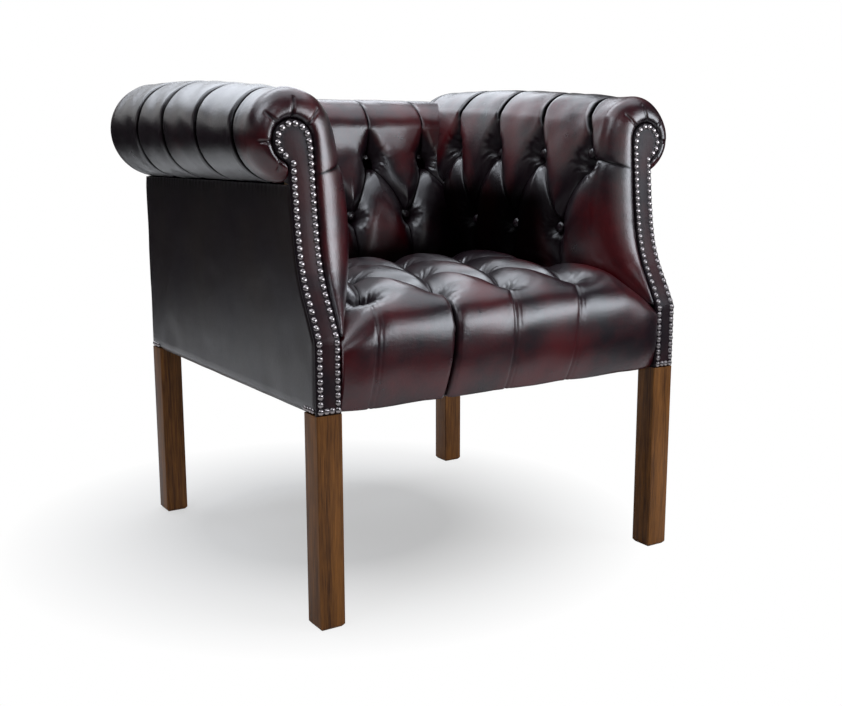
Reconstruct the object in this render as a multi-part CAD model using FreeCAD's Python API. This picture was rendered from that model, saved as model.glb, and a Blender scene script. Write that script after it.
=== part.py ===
import FreeCAD, Part
import math
import os

from FreeCAD import Vector

# Deep-buttoned tub armchair: square wooden legs, a timber frame, rolled arms and back in
# one sweep, tufted seat, and nail-trimmed scroll facings. Millimetres; seen from the front,
# +X is to the right, +Y to the back, +Z up. The pieces are drawn with y = 0 at the front
# faces of the front legs, and moved at the end so that the origin is on the floor under
# the middle of the chair's box.

# Legs and frame
leg_side = 40.0
leg_visible = 316.0
leg_chamfer = 4.0
frame_width = 674.0
frame_depth = 672.0
panel_thick = 5.0
fit_gap = 0.3
flatness = 1e-8
tenon_side = 31.0
rail_thick = 24.0
rail_height = 74.0
rail_lift = 5.0
block_reach = 62.0
block_height = 44.0
block_lift = 14.0
upper_rail_thick = 26.0
upper_rail_height = 40.0
low_rail_height = 30.0
low_rail_rise = 114.0
top_rail_drop = 45.0
post_thick = 26.0

# Scroll facing: profile seen from the side, outline seen from the front
facing_width = 39.5
facing_thick = 5.0
knee_rise = 105.0
sweep_rise = 170.0
sweep_back = 36.0
neck_rise = 234.0
neck_back = 55.0
crown_rise = 45.0
crown_back = 73.6
sweep_bow = 1.9
neck_bow = 1.7
lobe_radius = 30.0
lobe_inset = 8.0
lobe_rise = 59.0
ogee_radius = 10.0
lobe_post_inset = 4.0

# Rolled arms
roll_inset = 15.0
roll_underside_rise = 315.0
roll_rear_radius = 80.5
roll_front_loss = 13.5
roll_front_y = 130.0
roll_full_inset = 72.0
roll_end_inset = 33.5
arm_start_y = 104.0
arm_pitch = 128.0
arm_row1_rise = 39.0
arm_row1_inset = 82.0
arm_row2_drop = 88.0
arm_row2_inset = 90.0
arm_base_inset = 69.0
arm_base_rise = 124.0
arm_low_bulge = 0.145
arm_up_bulge = 0.10
front_pleat_drop = 15.0
front_pleat_ease = 12.0

# Rolled back
back_roll_inset = 29.0
back_roll_radius = 71.0
back_roll_lift = 1.0
back_pitch = 123.0
back_shift = 82.0
back_row1_rise = 29.0
back_row1_sink = 18.0
back_row2_drop = 79.0
back_row2_inset = 131.0
back_base_inset = 150.0
back_base_rise = 124.0
back_low_bulge = 0.19
back_up_bulge = 0.09
back_end_inset = 19.0
back_foam_inset = 119.0
foam_gap = 0.6

# Covers of arms and back
cover_thick = 18.0
pleat_depth = 6.0
valley_relief = 7.0
dimple_width = 18.0
pleat_width = 3.0
join_angle = 12.0
inner_angle = 8.0
border_proud = 2.0
border_fullness = 0.62
border_levels = 8
border_turns = 11
border_turn_room = 6.0
dimple_half = 8.0
low_chords = 6
up_chords = 5
roll_chords = 12
border_chords = 6
dome_sides = 24

# Tufted seat
seat_pitch = 127.0
seat_shift = 28.0
seat_row1_y = 60.0
seat_rear_run = 130.0
seat_rear_inset = 162.0
seat_side_inset = 92.0
seat_facing_gap = 1.0
seat_button_rise = 136.0
seat_valley_rise = 9.0
seat_crest_rise = 173.0
seat_front_crest_rise = 163.0
seat_side_drop = 16.0
seat_crown_run = 110.0
seat_pad_rise = 121.0
row_gap = 1.0
seat_front_bulge = 12.0
seat_front_rise = 82.0
seat_border_thick = 20.5
seat_ear_top_rise = 117.0
seat_ear_run = 25.0
seat_ear_mid_top_rise = 136.0
front_pleat = 5.0
seat_border_chords = 3
seat_shoulder_chords = 4
seat_crest_chords = 5

# Buttons and nails
button_radius = 7.5
button_top = 4.5
button_stem = 1.2
button_rise = 5.2
button_crown = 3.0
button_sides = 6
seat_button_inset = 14.0
back_button_inset = 104.0
arm_button_inset = 14.0
nail_radius = 4.3
nail_height = 2.3
nail_pitch = 10.4
nail_inset = 6.2
nail_sides = 6
side_nail_count = 4
side_nail_size = 0.8

# Inner layers
webbing_width = 50.0
webbing_thick = 1.6
webbing_count = 5
layer_gap = 0.2
hessian_thick = 1.0
dust_thick = 1.2

# Values that follow from the sizes above
half_width = frame_width / 2
inner_face = half_width - panel_thick - fit_gap
tenon_front = facing_thick + fit_gap
tenon_rear = frame_depth - panel_thick - fit_gap
knee_level = leg_visible + knee_rise
sweep_level = leg_visible + sweep_rise
neck_level = leg_visible + neck_rise
roll_underside = leg_visible + roll_underside_rise
lobe_z = roll_underside + lobe_rise
crown_level = lobe_z + crown_rise
arm_row1_z = roll_underside + arm_row1_rise
arm_row2_z = roll_underside - arm_row2_drop
arm_base_z = leg_visible + arm_base_rise
back_roll_underside = roll_underside + back_roll_lift
back_row1_z = back_roll_underside + back_row1_rise
back_row2_z = back_roll_underside - back_row2_drop
back_base_z = leg_visible + back_base_rise
seat_button_z = leg_visible + seat_button_rise
seat_crest_z = leg_visible + seat_crest_rise
seat_front_crest_z = leg_visible + seat_front_crest_rise
seat_pad_z = leg_visible + seat_pad_rise
seat_front_level = leg_visible + seat_front_rise
seat_ear_top = leg_visible + seat_ear_top_rise
seat_ear_mid_top = leg_visible + seat_ear_mid_top_rise
low_rail_level = leg_visible + low_rail_rise
top_rail_level = roll_underside - top_rail_drop
rail_bottom = leg_visible + rail_lift
rail_top = rail_bottom + rail_height
post_inner = inner_face - tenon_side
upper_inner = inner_face - upper_rail_thick
facing_inner = half_width - facing_width
lobe_x = half_width - lobe_inset
roll_x = half_width - roll_inset
roll_full_y = frame_depth - roll_full_inset
roll_end_y = frame_depth - roll_end_inset
roll_pleats = 1 + int((roll_end_y - roll_front_y) // arm_pitch)
arm_row1_u = half_width - arm_row1_inset
arm_row2_u = half_width - arm_row2_inset
arm_base_u = half_width - arm_base_inset
back_roll_y = frame_depth - back_roll_inset
back_row1_u = back_roll_y - back_roll_radius + back_row1_sink
back_row2_u = frame_depth - back_row2_inset
back_base_u = frame_depth - back_base_inset
back_half = half_width - back_end_inset
back_foam_half = half_width - back_foam_inset
seat_rear_y = frame_depth - seat_rear_inset
seat_row_step = (seat_rear_y - seat_rear_run - seat_row1_y) / 2
seat_half = half_width - seat_side_inset
seat_front_half = facing_inner - seat_facing_gap
seat_ear_mid_x = seat_half + seat_ear_run
back_roll_z = back_roll_underside + back_roll_radius
roll_rear_z = roll_underside + roll_rear_radius
panel_top = roll_underside - fit_gap
back_panel_top = back_roll_underside - fit_gap
webbing_top = rail_top + 2 * webbing_thick + layer_gap
hessian_bottom = webbing_top + layer_gap
foam_bottom = hessian_bottom + hessian_thick + layer_gap
foam_top = seat_pad_z - fit_gap

nodes = {}


# Small helpers for boxes, outlines and lofts
def box(x0, x1, y0, y1, z0, z1):
    return Part.makeBox(x1 - x0, y1 - y0, z1 - z0, Vector(x0, y0, z0))


def outline(start, steps, place):
    edges = []
    here = start
    for step in steps:
        end = step[-1]
        if len(step) == 2:
            edges.append(Part.Arc(place(*here), place(*step[0]), place(*end)).toShape())
        else:
            edges.append(Part.LineSegment(place(*here), place(*end)).toShape())
        here = end
    return Part.Wire(edges)


def arc_points(start, middle, end, count):
    flat = [Vector(u, z, 0) for u, z in (start, middle, end)]
    found = Part.Arc(*flat).toShape().discretize(count + 1)
    return [(point.x, point.y) for point in found[1:-1]] + [end]


def loft(wires):
    return Part.makeLoft(wires, True, True)


def flat_face(corners):
    return Part.Face(Part.makePolygon(corners + corners[:1]))


def patch(a, b, c, d):
    normal = (b - a).cross(c - a)
    if normal.Length and abs((d - a).dot(normal.normalize())) < flatness:
        return [flat_face([a, b, c, d])]
    if (a - c).Length < (b - d).Length:
        return [flat_face([a, b, c]), flat_face([a, c, d])]
    return [flat_face([a, b, d]), flat_face([b, c, d])]


def skin(rings):
    count = len(rings[0])
    faces = [flat_face(ring) for ring in (rings[0], rings[-1]) if len(ring) > 1]
    for low, high in zip(rings, rings[1:]):
        for k in range(count):
            after = (k + 1) % count
            if len(high) > 1:
                faces += patch(low[k], low[after], high[after], high[k])
            else:
                faces.append(flat_face([low[k], low[after], high[0]]))
    return Part.makeSolid(Part.makeShell(faces))


def ring_of(base, normal, across, level, radius, sides):
    other = normal.cross(across)
    ring = []
    for k in range(sides):
        turn = 2 * math.pi * k / sides
        ring.append(base + normal * level + across * (radius * math.cos(turn))
                    + other * (radius * math.sin(turn)))
    return ring


def prism(wire, direction):
    return Part.Face(wire).extrude(direction)


def mirrored(shape):
    return shape.mirror(Vector(0, 0, 0), Vector(1, 0, 0))


def add(name, shape):
    nodes[name] = shape


def add_pair(name, shape):
    add(name + "_right", shape)
    add(name + "_left", mirrored(shape))


def bowed(a, b, bulge, towards):
    chord = math.hypot(b[0] - a[0], b[1] - a[1])
    mid_u = (a[0] + b[0]) / 2
    mid_z = (a[1] + b[1]) / 2
    return (mid_u + towards[0] * bulge * chord, mid_z + towards[1] * bulge * chord)


# Facing profile: straight over the leg, then swept back up the front of the arm
def facing_mids():
    sweep_mid = ((sweep_back + neck_back) / 2 + sweep_bow, (sweep_level + neck_level) / 2)
    neck_mid = ((neck_back + crown_back) / 2 + neck_bow, (neck_level + crown_level) / 2)
    return sweep_mid, neck_mid


def front_steps(offset, bottom):
    sweep_mid, neck_mid = facing_mids()
    start = (offset, bottom)
    steps = []
    if bottom < knee_level:
        steps.append(((offset, knee_level),))
    steps.append(((sweep_back + offset, sweep_level),))
    steps.append(((sweep_mid[0] + offset, sweep_mid[1]), (neck_back + offset, neck_level)))
    steps.append(((neck_mid[0] + offset, neck_mid[1]), (crown_back + offset, crown_level)))
    return start, steps


def arc_height(level, a, m, b):
    edge = Part.Arc(Vector(a[0], a[1], 0), Vector(m[0], m[1], 0), Vector(b[0], b[1], 0)).toShape()
    centre = edge.Curve.Center
    reach = math.hypot(a[0] - centre.x, a[1] - centre.y)
    side = math.copysign(1.0, m[0] - centre.x)
    return centre.x + side * math.sqrt(reach ** 2 - (level - centre.y) ** 2)


def front_y(level):
    sweep_mid, neck_mid = facing_mids()
    if level <= knee_level:
        return 0.0
    if level <= sweep_level:
        return sweep_back * (level - knee_level) / (sweep_level - knee_level)
    if level <= neck_level:
        return arc_height(level, (sweep_back, sweep_level), sweep_mid, (neck_back, neck_level))
    return arc_height(level, (neck_back, neck_level), neck_mid, (crown_back, crown_level))


def in_yz(x):
    return lambda y, z: Vector(x, y, z)


def in_xz(y):
    return lambda x, z: Vector(x, y, z)


def behind_front(offset, bottom, rear):
    start, steps = front_steps(offset, bottom)
    steps.append(((rear, crown_level),))
    steps.append(((rear, bottom),))
    steps.append((start,))
    return prism(outline(start, steps, in_yz(0)), Vector(half_width + roll_x, 0, 0))


def front_band(near, far, bottom):
    rear = behind_front(far, bottom - 1, crown_back + far + leg_side)
    return behind_front(near, bottom, crown_back + far + leg_side).cut(rear)


# Legs: square, chamfered at the foot, reduced above the shoulder to sit in the frame
def make_leg(x_sign, at_rear):
    y0 = frame_depth - leg_side if at_rear else 0.0
    lower = box(half_width - leg_side, half_width, y0, y0 + leg_side, 0, leg_visible)
    foot = [e for e in lower.Edges if e.BoundBox.ZMax < leg_chamfer]
    lower = lower.makeChamfer(leg_chamfer, foot)
    t0 = tenon_rear - tenon_side if at_rear else tenon_front
    tenon = box(post_inner, inner_face, t0, t0 + tenon_side, leg_visible, rail_top)
    leg = lower.fuse(tenon)
    return leg if x_sign > 0 else mirrored(leg)


def make_legs():
    add("leg_front_right", make_leg(1, False))
    add("leg_front_left", make_leg(-1, False))
    add("leg_rear_right", make_leg(1, True))
    add("leg_rear_left", make_leg(-1, True))


# Seat frame: four rails between the legs and a glued block in each corner
def make_seat_frame():
    front_end = tenon_front + tenon_side
    rear_end = tenon_rear - tenon_side
    add_pair("seat_rail_side", box(inner_face - rail_thick, inner_face, front_end, rear_end,
                                   rail_bottom, rail_top))
    front0 = seat_border_thick - seat_front_bulge + fit_gap
    add("seat_rail_front", box(-post_inner, post_inner, front0, front0 + rail_thick,
                               rail_bottom, rail_top))
    add("seat_rail_rear", box(-post_inner, post_inner, tenon_rear - rail_thick, tenon_rear,
                              rail_bottom, rail_top))
    add_pair("corner_block_front", make_block(front0 + rail_thick, front_end, 1))
    add_pair("corner_block_rear", make_block(tenon_rear - rail_thick, rear_end, -1))


def make_block(rail_face, leg_face, way):
    side_face = inner_face - rail_thick
    points = [(post_inner - block_reach, rail_face), (post_inner, rail_face), (post_inner, leg_face),
              (side_face, leg_face), (side_face, leg_face + way * block_reach)]
    if (leg_face - rail_face) * way < 0:
        points = [(post_inner - block_reach, rail_face), (post_inner, rail_face),
                  (side_face, rail_face), (side_face, leg_face + way * block_reach)]
    bottom = rail_bottom + block_lift
    corners = [Vector(x, y, bottom) for x, y in points + points[:1]]
    return prism(Part.makePolygon(corners), Vector(0, 0, block_height))


# Upper frame: scroll posts, back posts and the rails that the covers are fixed to
def make_upper_frame():
    band = front_band(facing_thick + fit_gap, facing_thick + fit_gap + post_thick, rail_top)
    neck = box(post_inner, inner_face, 0, leg_side * 4, rail_top, lobe_z)
    lobe = Part.makeCylinder(lobe_radius - lobe_post_inset, leg_side * 4,
                             Vector(lobe_x, 0, lobe_z), Vector(0, 1, 0))
    add_pair("arm_post", neck.fuse(lobe).common(band))
    rear0 = tenon_rear - tenon_side
    top_end = top_rail_level + upper_rail_height
    add_pair("back_post", box(post_inner, inner_face, rear0, tenon_rear, rail_top, top_end))
    behind = behind_front(facing_thick + fit_gap + post_thick, rail_top, frame_depth)
    top = box(upper_inner, inner_face, 0, rear0, top_rail_level, top_end)
    low = box(upper_inner, inner_face, 0, rear0, low_rail_level, low_rail_level + low_rail_height)
    add_pair("arm_rail_top", top.common(behind))
    add_pair("arm_rail_low", low.common(behind))
    back0 = tenon_rear - upper_rail_thick
    add("back_rail_top", box(-post_inner, post_inner, back0, tenon_rear, top_rail_level, top_end))
    add("back_rail_low", box(-post_inner, post_inner, back0, tenon_rear, low_rail_level,
                             low_rail_level + low_rail_height))


# Facings: leather-covered boards whose outline ends in the scroll's lobe
def facing_outline():
    reach = lobe_radius + ogee_radius
    ogee_x = half_width + ogee_radius
    ogee_z = lobe_z - math.sqrt(reach ** 2 - (ogee_x - lobe_x) ** 2)
    turn = math.atan2(ogee_z - lobe_z, ogee_x - lobe_x)
    touch = (lobe_x + lobe_radius * math.cos(turn), lobe_z + lobe_radius * math.sin(turn))
    swing = (math.pi + turn + math.pi) / 2
    ogee_mid = (ogee_x + ogee_radius * math.cos(swing), ogee_z + ogee_radius * math.sin(swing))
    outer_mid = (lobe_x + lobe_radius * math.cos(turn / 2 + math.pi / 4),
                 lobe_z + lobe_radius * math.sin(turn / 2 + math.pi / 4))
    top = (lobe_x, lobe_z + lobe_radius)
    inner_mid = (lobe_x - lobe_radius * math.sqrt(0.5), lobe_z + lobe_radius * math.sqrt(0.5))
    inner = (lobe_x - lobe_radius, lobe_z)
    start = (facing_inner, leg_visible)
    steps = [((half_width, leg_visible),), ((half_width, ogee_z),), (ogee_mid, touch),
             (outer_mid, top), (inner_mid, inner), (start,)]
    return start, steps, turn, ogee_z


def make_facings():
    start, steps, turn, ogee_z = facing_outline()
    board = prism(outline(start, steps, in_xz(-leg_side)), Vector(0, 5 * leg_side, 0))
    add_pair("facing", board.common(front_band(0.0, facing_thick, leg_visible - 1)))


# Nails: domed heads set along the facing's edge, square to its swept surface
def nail_head(base, normal, across, size):
    rim = ring_of(base, normal, across, 0, nail_radius * size, nail_sides)
    return skin([rim, [base + normal * (nail_height * size)]])


def nail(x, z):
    slope = front_y(z + 1) - front_y(z - 1)
    normal = Vector(0, -2, slope).normalize()
    base = Vector(x, front_y(z), z) + normal * (layer_gap / 2)
    return nail_head(base, normal, Vector(1, 0, 0), 1.0)


def facing_nails():
    start, steps, turn, ogee_z = facing_outline()
    outer_x = half_width - nail_inset
    inner_x = facing_inner + nail_inset
    bottom = leg_visible + nail_inset
    ring = lobe_radius - nail_inset
    nails = []
    across = round((outer_x - inner_x) / nail_pitch)
    for k in range(across + 1):
        nails.append((inner_x + (outer_x - inner_x) * k / across, bottom))
    first_turn = turn + math.radians(6)
    lift = lobe_z + ring * math.sin(first_turn)
    outer_count = round((lift - nail_pitch - bottom) / nail_pitch)
    for k in range(1, outer_count + 1):
        nails.append((outer_x, bottom + (lift - nail_pitch - bottom) * k / outer_count))
    sweep = math.pi - first_turn
    lobe_count = round(sweep * ring / nail_pitch)
    for k in range(lobe_count + 1):
        angle = first_turn + sweep * k / lobe_count
        nails.append((lobe_x + ring * math.cos(angle), lobe_z + ring * math.sin(angle)))
    inner_count = round((lobe_z - bottom) / nail_pitch)
    for k in range(1, inner_count):
        nails.append((inner_x, bottom + (lobe_z - bottom) * k / inner_count))
    return [nail(x, z) for x, z in nails]


def side_nails():
    made = []
    for start in (tenon_front + nail_inset, frame_depth - leg_side + nail_inset):
        for k in range(side_nail_count):
            base = Vector(half_width + layer_gap / 2, start + k * nail_pitch * side_nail_size,
                          leg_visible + nail_inset)
            made.append(nail_head(base, Vector(1, 0, 0), Vector(0, 0, 1), side_nail_size))
    return made


def make_nails():
    add_pair("facing_nails", Part.makeCompound(facing_nails()))
    add_pair("side_nails", Part.makeCompound(side_nails()))


# Outside panels: tight leather over the frame below the roll
def make_panels():
    side = box(inner_face + fit_gap, half_width, 0, frame_depth, leg_visible, panel_top)
    side = side.common(behind_front(facing_thick + fit_gap, leg_visible - 1, frame_depth))
    add_pair("outer_panel_side", side)
    add("outer_panel_back", box(-inner_face, inner_face, tenon_rear + fit_gap, frame_depth,
                                leg_visible, back_panel_top))


# Rolled pads: one closed section, with the inside face, its tuft line, the roll and the
# seam under it; the valley climbs and falls between the two button rows along the pad
def roll_point(centre, radius, degrees):
    turn = math.radians(degrees)
    return (centre[0] - radius * math.cos(turn), centre[1] + radius * math.sin(turn))


def roll_points(centre, radius, a, b, count):
    return [roll_point(centre, radius, a + (b - a) * k / count) for k in range(1, count + 1)]


def inner_knee(base, centre, back_radius):
    inner_u = centre[0] - back_radius * math.cos(math.radians(inner_angle))
    return (inner_u, (base[1] + centre[1]) / 2)


def seam_turn(centre, reach, seam_u):
    return 180 + math.degrees(math.acos((seam_u - centre[0]) / reach))


def inner_turns(centre, reach, seam_u):
    return (seam_turn(centre, reach, seam_u) - inner_angle, 205, 150, 95, 45, inner_angle)


def pad_surface(centre, reach, base, valley, floor, bulges, seam_u):
    low = (valley[0], valley[1] - floor / 2)
    high = (valley[0], valley[1] + floor / 2)
    join = roll_point(centre, reach, join_angle)
    profile = [base]
    profile += arc_points(base, bowed(base, low, bulges[0], (-1, 0)), low, low_chords)
    profile.append(high)
    profile += arc_points(high, bowed(high, join, bulges[1], (-1, 0)), join, up_chords)
    end = seam_turn(centre, reach, seam_u)
    return profile + roll_points(centre, reach, join_angle, end, roll_chords)


def pad_lining(centre, radius, base, seam_u):
    back_radius = radius - pleat_depth - cover_thick
    turns = inner_turns(centre, radius, seam_u)
    profile = [roll_point(centre, back_radius, degrees) for degrees in turns]
    profile.append(inner_knee(base, centre, back_radius))
    profile.append((base[0] + cover_thick, base[1]))
    return profile


def station_fractions(pitch):
    dwell = dimple_half / pitch
    return (0.0, dwell, 0.5 - dwell, 0.5 + dwell, 1 - dwell)


def crown(distance, run):
    near = min(1.0, abs(distance) / run)
    return math.sqrt(1 - (1 - near) ** 2)


def zigzag(position, first, pitch):
    step = ((position - first) / pitch) % 1.0
    dwell = 2 * dimple_half / pitch
    share = (1 - abs(2 * step - 1) - dwell) / (1 - 2 * dwell)
    return min(1.0, max(0.0, share))


def stations(first, pitch, low, high):
    found = {low, high}
    k = math.floor((low - first) / pitch)
    while first + k * pitch < high:
        for part in station_fractions(pitch):
            place = first + (k + part) * pitch
            if low + 2 < place < high - 2:
                found.add(place)
        k += 1
    return sorted(found)


def valley_point(blend, row1, row2):
    relief = valley_relief * (1 - abs(2 * blend - 1))
    return (row1[0] + (row2[0] - row1[0]) * blend - relief, row1[1] + (row2[1] - row1[1]) * blend)


def valley_floor(blend):
    return pleat_width + (dimple_width - pleat_width) * abs(2 * blend - 1) ** 4


def pleat_at(distance, pitch):
    return pleat_depth * (1 - crown(distance, pitch * 0.3))


def arm_radius(y):
    short = max(0.0, roll_full_y - y) / (roll_full_y - roll_front_y)
    return roll_rear_radius - roll_front_loss * short ** 2


def arm_valley(y):
    row1 = (arm_row1_u, arm_row1_z)
    row2 = (arm_row2_u, arm_row2_z)
    if y < roll_front_y:
        part = (roll_front_y - y) / (roll_front_y - arm_start_y)
        valley = (arm_row1_u - front_pleat_ease * part, arm_row1_z - front_pleat_drop * part)
        return valley, pleat_width + (dimple_width - pleat_width) * (1 - part)
    blend = zigzag(y, roll_front_y, arm_pitch)
    return valley_point(blend, row1, row2), valley_floor(blend)


def arm_round(y):
    radius = arm_radius(y)
    return (roll_x, roll_underside + radius), radius


def arm_surface(y):
    centre, radius = arm_round(y)
    nearest = min(roll_pleats - 1, max(0, round((y - roll_front_y) / arm_pitch)))
    pleat = pleat_at(y - roll_front_y - nearest * arm_pitch, arm_pitch)
    valley, floor = arm_valley(y)
    return pad_surface(centre, radius - pleat, (arm_base_u, arm_base_z), valley, floor,
                       (arm_low_bulge, arm_up_bulge), half_width + layer_gap)


def arm_section(y):
    centre, radius = arm_round(y)
    lining = pad_lining(centre, radius, (arm_base_u, arm_base_z), half_width + layer_gap)
    return [Vector(x, y, z) for x, z in arm_surface(y) + lining]


def arm_spots():
    return stations(roll_front_y, arm_pitch, arm_start_y, roll_end_y)


def make_arm_cover():
    return skin([arm_section(y) for y in arm_spots()])


# Padded front border: turns from the arm's surface round to the edge of the facing
def border_profile():
    radius = arm_radius(arm_start_y)
    centre = (roll_x, roll_underside + radius)
    valley, floor = arm_valley(arm_start_y)
    base = (arm_base_u, arm_base_z)
    low = (valley[0], valley[1] - floor / 2)
    high = (valley[0], valley[1] + floor / 2)
    reach = radius - pleat_at(roll_front_y - arm_start_y, arm_pitch)
    join = roll_point(centre, reach, join_angle)
    return base, low, high, join, centre, reach


def border_swell(level):
    base, low, high, join, centre, reach = border_profile()
    if level < low[1]:
        return arc_height(level, base, bowed(base, low, arm_low_bulge, (-1, 0)), low)
    if level < high[1]:
        return low[0]
    return arc_height(level, high, bowed(high, join, arm_up_bulge, (-1, 0)), join)


def border_reach(angle):
    base, low, high, join, centre, reach = border_profile()
    away = (math.cos(angle), math.sin(angle))
    apart = (lobe_x - centre[0], lobe_z - centre[1])
    along = apart[0] * away[0] + apart[1] * away[1]
    square = along ** 2 - (apart[0] ** 2 + apart[1] ** 2 - reach ** 2)
    return -along + math.sqrt(square) - lobe_radius


def border_ring(point, away, swell, clear):
    front = front_y(point[1])
    run = arm_start_y - front
    near = (clear, front - border_proud)
    mid = (border_fullness * swell, front + (1 - border_fullness) ** 2 * run)
    profile = [near] + arc_points(near, mid, (swell, arm_start_y), border_chords)
    profile.append((clear, arm_start_y))
    return [Vector(point[0] + away[0] * out, y, point[1] + away[1] * out) for out, y in profile]


def make_arm_border():
    turn = facing_outline()[2]
    rings = []
    top = lobe_z - border_turn_room
    for k in range(border_levels + 1):
        level = arm_base_z + (top - arm_base_z) * k / border_levels
        swell = facing_inner - border_swell(level)
        rings.append(border_ring((facing_inner, level), (-1, 0), swell, fit_gap))
    first = math.pi - border_turn_room / lobe_radius
    step = (first - turn) / border_turns
    clear = lobe_radius * (1 / math.cos(step / 2) - 1) + fit_gap
    for k in range(border_turns + 1):
        angle = first - step * k
        away = (math.cos(angle), math.sin(angle))
        point = (lobe_x + lobe_radius * away[0], lobe_z + lobe_radius * away[1])
        rings.append(border_ring(point, away, border_reach(angle), clear))
    return skin(rings)


# Rear corner: the arm's roll ends in a rounded dome where it turns into the back
def make_corner():
    centre = Vector(roll_x, roll_end_y, roll_rear_z)
    rings = []
    for degrees in (0, 20, 40, 58, 74, 86):
        turn = math.radians(degrees)
        level = fit_gap + (roll_rear_radius - fit_gap) * math.sin(turn)
        rings.append(ring_of(centre, Vector(0, 1, 0), Vector(1, 0, 0), level,
                             roll_rear_radius * math.cos(turn), dome_sides))
    return skin(rings)


def make_arms():
    add_pair("arm_cover", make_arm_cover())
    add_pair("arm_border", make_arm_border())
    add_pair("corner_cover", make_corner())


# Back: the same kind of pad, trimmed where it runs into the arms
def back_section(x):
    blend = zigzag(x, back_shift, back_pitch)
    valley = valley_point(blend, (back_row1_u, back_row1_z), (back_row2_u, back_row2_z))
    side = (x - back_shift) / back_pitch
    pleat = pleat_at((side - round(side)) * back_pitch, back_pitch)
    centre = (back_roll_y, back_roll_z)
    base = (back_base_u, back_base_z)
    seam_u = frame_depth + layer_gap
    profile = pad_surface(centre, back_roll_radius - pleat, base, valley, valley_floor(blend),
                          (back_low_bulge, back_up_bulge), seam_u)
    profile += pad_lining(centre, back_roll_radius, base, seam_u)
    return [Vector(x, y, z) for y, z in profile]


def arm_clearance():
    rings = []
    below = arm_base_z - block_lift
    for y in arm_spots():
        profile = arm_surface(y) + [(half_width, below), (arm_base_u, below)]
        rings.append([Vector(x - fit_gap, y, z) for x, z in profile])
    dome = Part.makeSphere(roll_rear_radius + fit_gap, Vector(roll_x, roll_end_y, roll_rear_z))
    return [skin(rings), dome]


def make_back():
    spots = stations(back_shift, back_pitch, -back_half, back_half)
    cover = skin([back_section(x) for x in spots])
    cutters = arm_clearance()
    cutters += [mirrored(shape) for shape in cutters]
    return cover.cut(cutters)


# Seat: tufted top with three button rows, running over the front edge to the lower seam
def seat_valleys(x):
    blend = zigzag(x, seat_shift, seat_pitch)
    wide = abs(2 * blend - 1) ** 4
    floor = (pleat_width + (dimple_width - pleat_width) * wide) / 2
    row2 = seat_row1_y + seat_row_step
    row3 = row2 + seat_row_step
    apart = (floor + row_gap) / 2
    first = seat_row1_y + (seat_row_step - apart) * blend
    second = row3 - apart - (seat_row_step - 2 * apart) * blend
    third = min(row3 + apart + seat_row_step * blend, seat_rear_y - 14)
    rise = seat_valley_rise * (1 - abs(2 * blend - 1))
    front_floor = floor * (2 - blend)
    return ((first, front_floor), (second, floor), (third, floor)), seat_button_z + rise


def seat_crest(a, b, valley_z, top):
    run = b - a
    share = min(1.0, max(0.0, run - row_gap) / seat_crown_run) ** 0.8
    return ((a + b) / 2, valley_z + 0.05 + (top - valley_z) * share)


def seat_section(x):
    valleys, valley_z = seat_valleys(x)
    side = (x - seat_shift) / seat_pitch
    draw = 1 - crown((side - round(side)) * seat_pitch, seat_pitch * 0.3)
    edge = max(0.0, abs(x) - seat_half + 22) / 22
    top = seat_crest_z - seat_side_drop * edge ** 2
    front_top = seat_front_crest_z - seat_side_drop * edge ** 2 - front_pleat * draw
    out = seat_front_bulge - front_pleat * draw
    start = (1.0, leg_visible)
    belly = (-out, seat_front_level)
    low_mid = (1.0 - 0.70 * (out + 1.0), (leg_visible + seat_front_level) / 2)
    first = valleys[0]
    shoulder = (14.0, front_top)
    shoulder_mid = (-out + 3.5, front_top - 39.0)
    here = (first[0] - first[1] / 2, valley_z)
    roll_over = ((shoulder[0] + here[0]) / 2 + 3.0, (front_top * 0.72 + valley_z * 0.28))
    profile = [start] + arc_points(start, low_mid, belly, seat_border_chords)
    profile += arc_points(belly, shoulder_mid, shoulder, seat_shoulder_chords)
    profile += arc_points(shoulder, roll_over, here, seat_shoulder_chords)
    for k, (centre, floor) in enumerate(valleys):
        end = (centre + floor / 2, valley_z)
        profile.append(end)
        if k < len(valleys) - 1:
            following = (valleys[k + 1][0] - valleys[k + 1][1] / 2, valley_z)
            middle = seat_crest(end[0], following[0], valley_z, top)
        else:
            following = (seat_rear_y, seat_button_z + 12)
            middle = seat_crest(end[0], following[0], valley_z + 6, top)
        profile += arc_points(end, middle, following, seat_crest_chords)
    inner = seat_border_thick - seat_front_bulge
    profile += [(seat_rear_y, seat_pad_z), (inner, seat_pad_z), (inner, leg_visible)]
    return [Vector(x, y, z) for y, z in profile]


def ear_section(x, top, rear, out):
    start = (1.0, leg_visible)
    belly = (-out, seat_front_level)
    inner = seat_border_thick - seat_front_bulge
    low_mid = (1.0 - 0.70 * (out + 1.0), (leg_visible + seat_front_level) / 2)
    shoulder = (rear * 0.32, top)
    shoulder_mid = (-out * 0.62, (top + seat_front_level) / 2 + (top - seat_front_level) * 0.20)
    profile = [start] + arc_points(start, low_mid, belly, seat_border_chords)
    profile += arc_points(belly, shoulder_mid, shoulder, seat_shoulder_chords)
    under = min(seat_pad_z, top - 8)
    profile += [(rear, top - 4), (rear, under), (inner, under), (inner, leg_visible)]
    return [Vector(x, y, z) for y, z in profile]


def make_seat():
    spots = stations(seat_shift, seat_pitch, -seat_half, seat_half)
    main = skin([seat_section(x) for x in spots])
    top = seat_front_crest_z - seat_side_drop
    ear = skin([ear_section(seat_half, top, 40.0, seat_front_bulge - 1.5),
                ear_section(seat_ear_mid_x, seat_ear_mid_top, 22.0, seat_front_bulge - 3.0),
                ear_section(seat_front_half, seat_ear_top, 10.0, 2.0)])
    return main.fuse([ear, mirrored(ear)])


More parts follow.
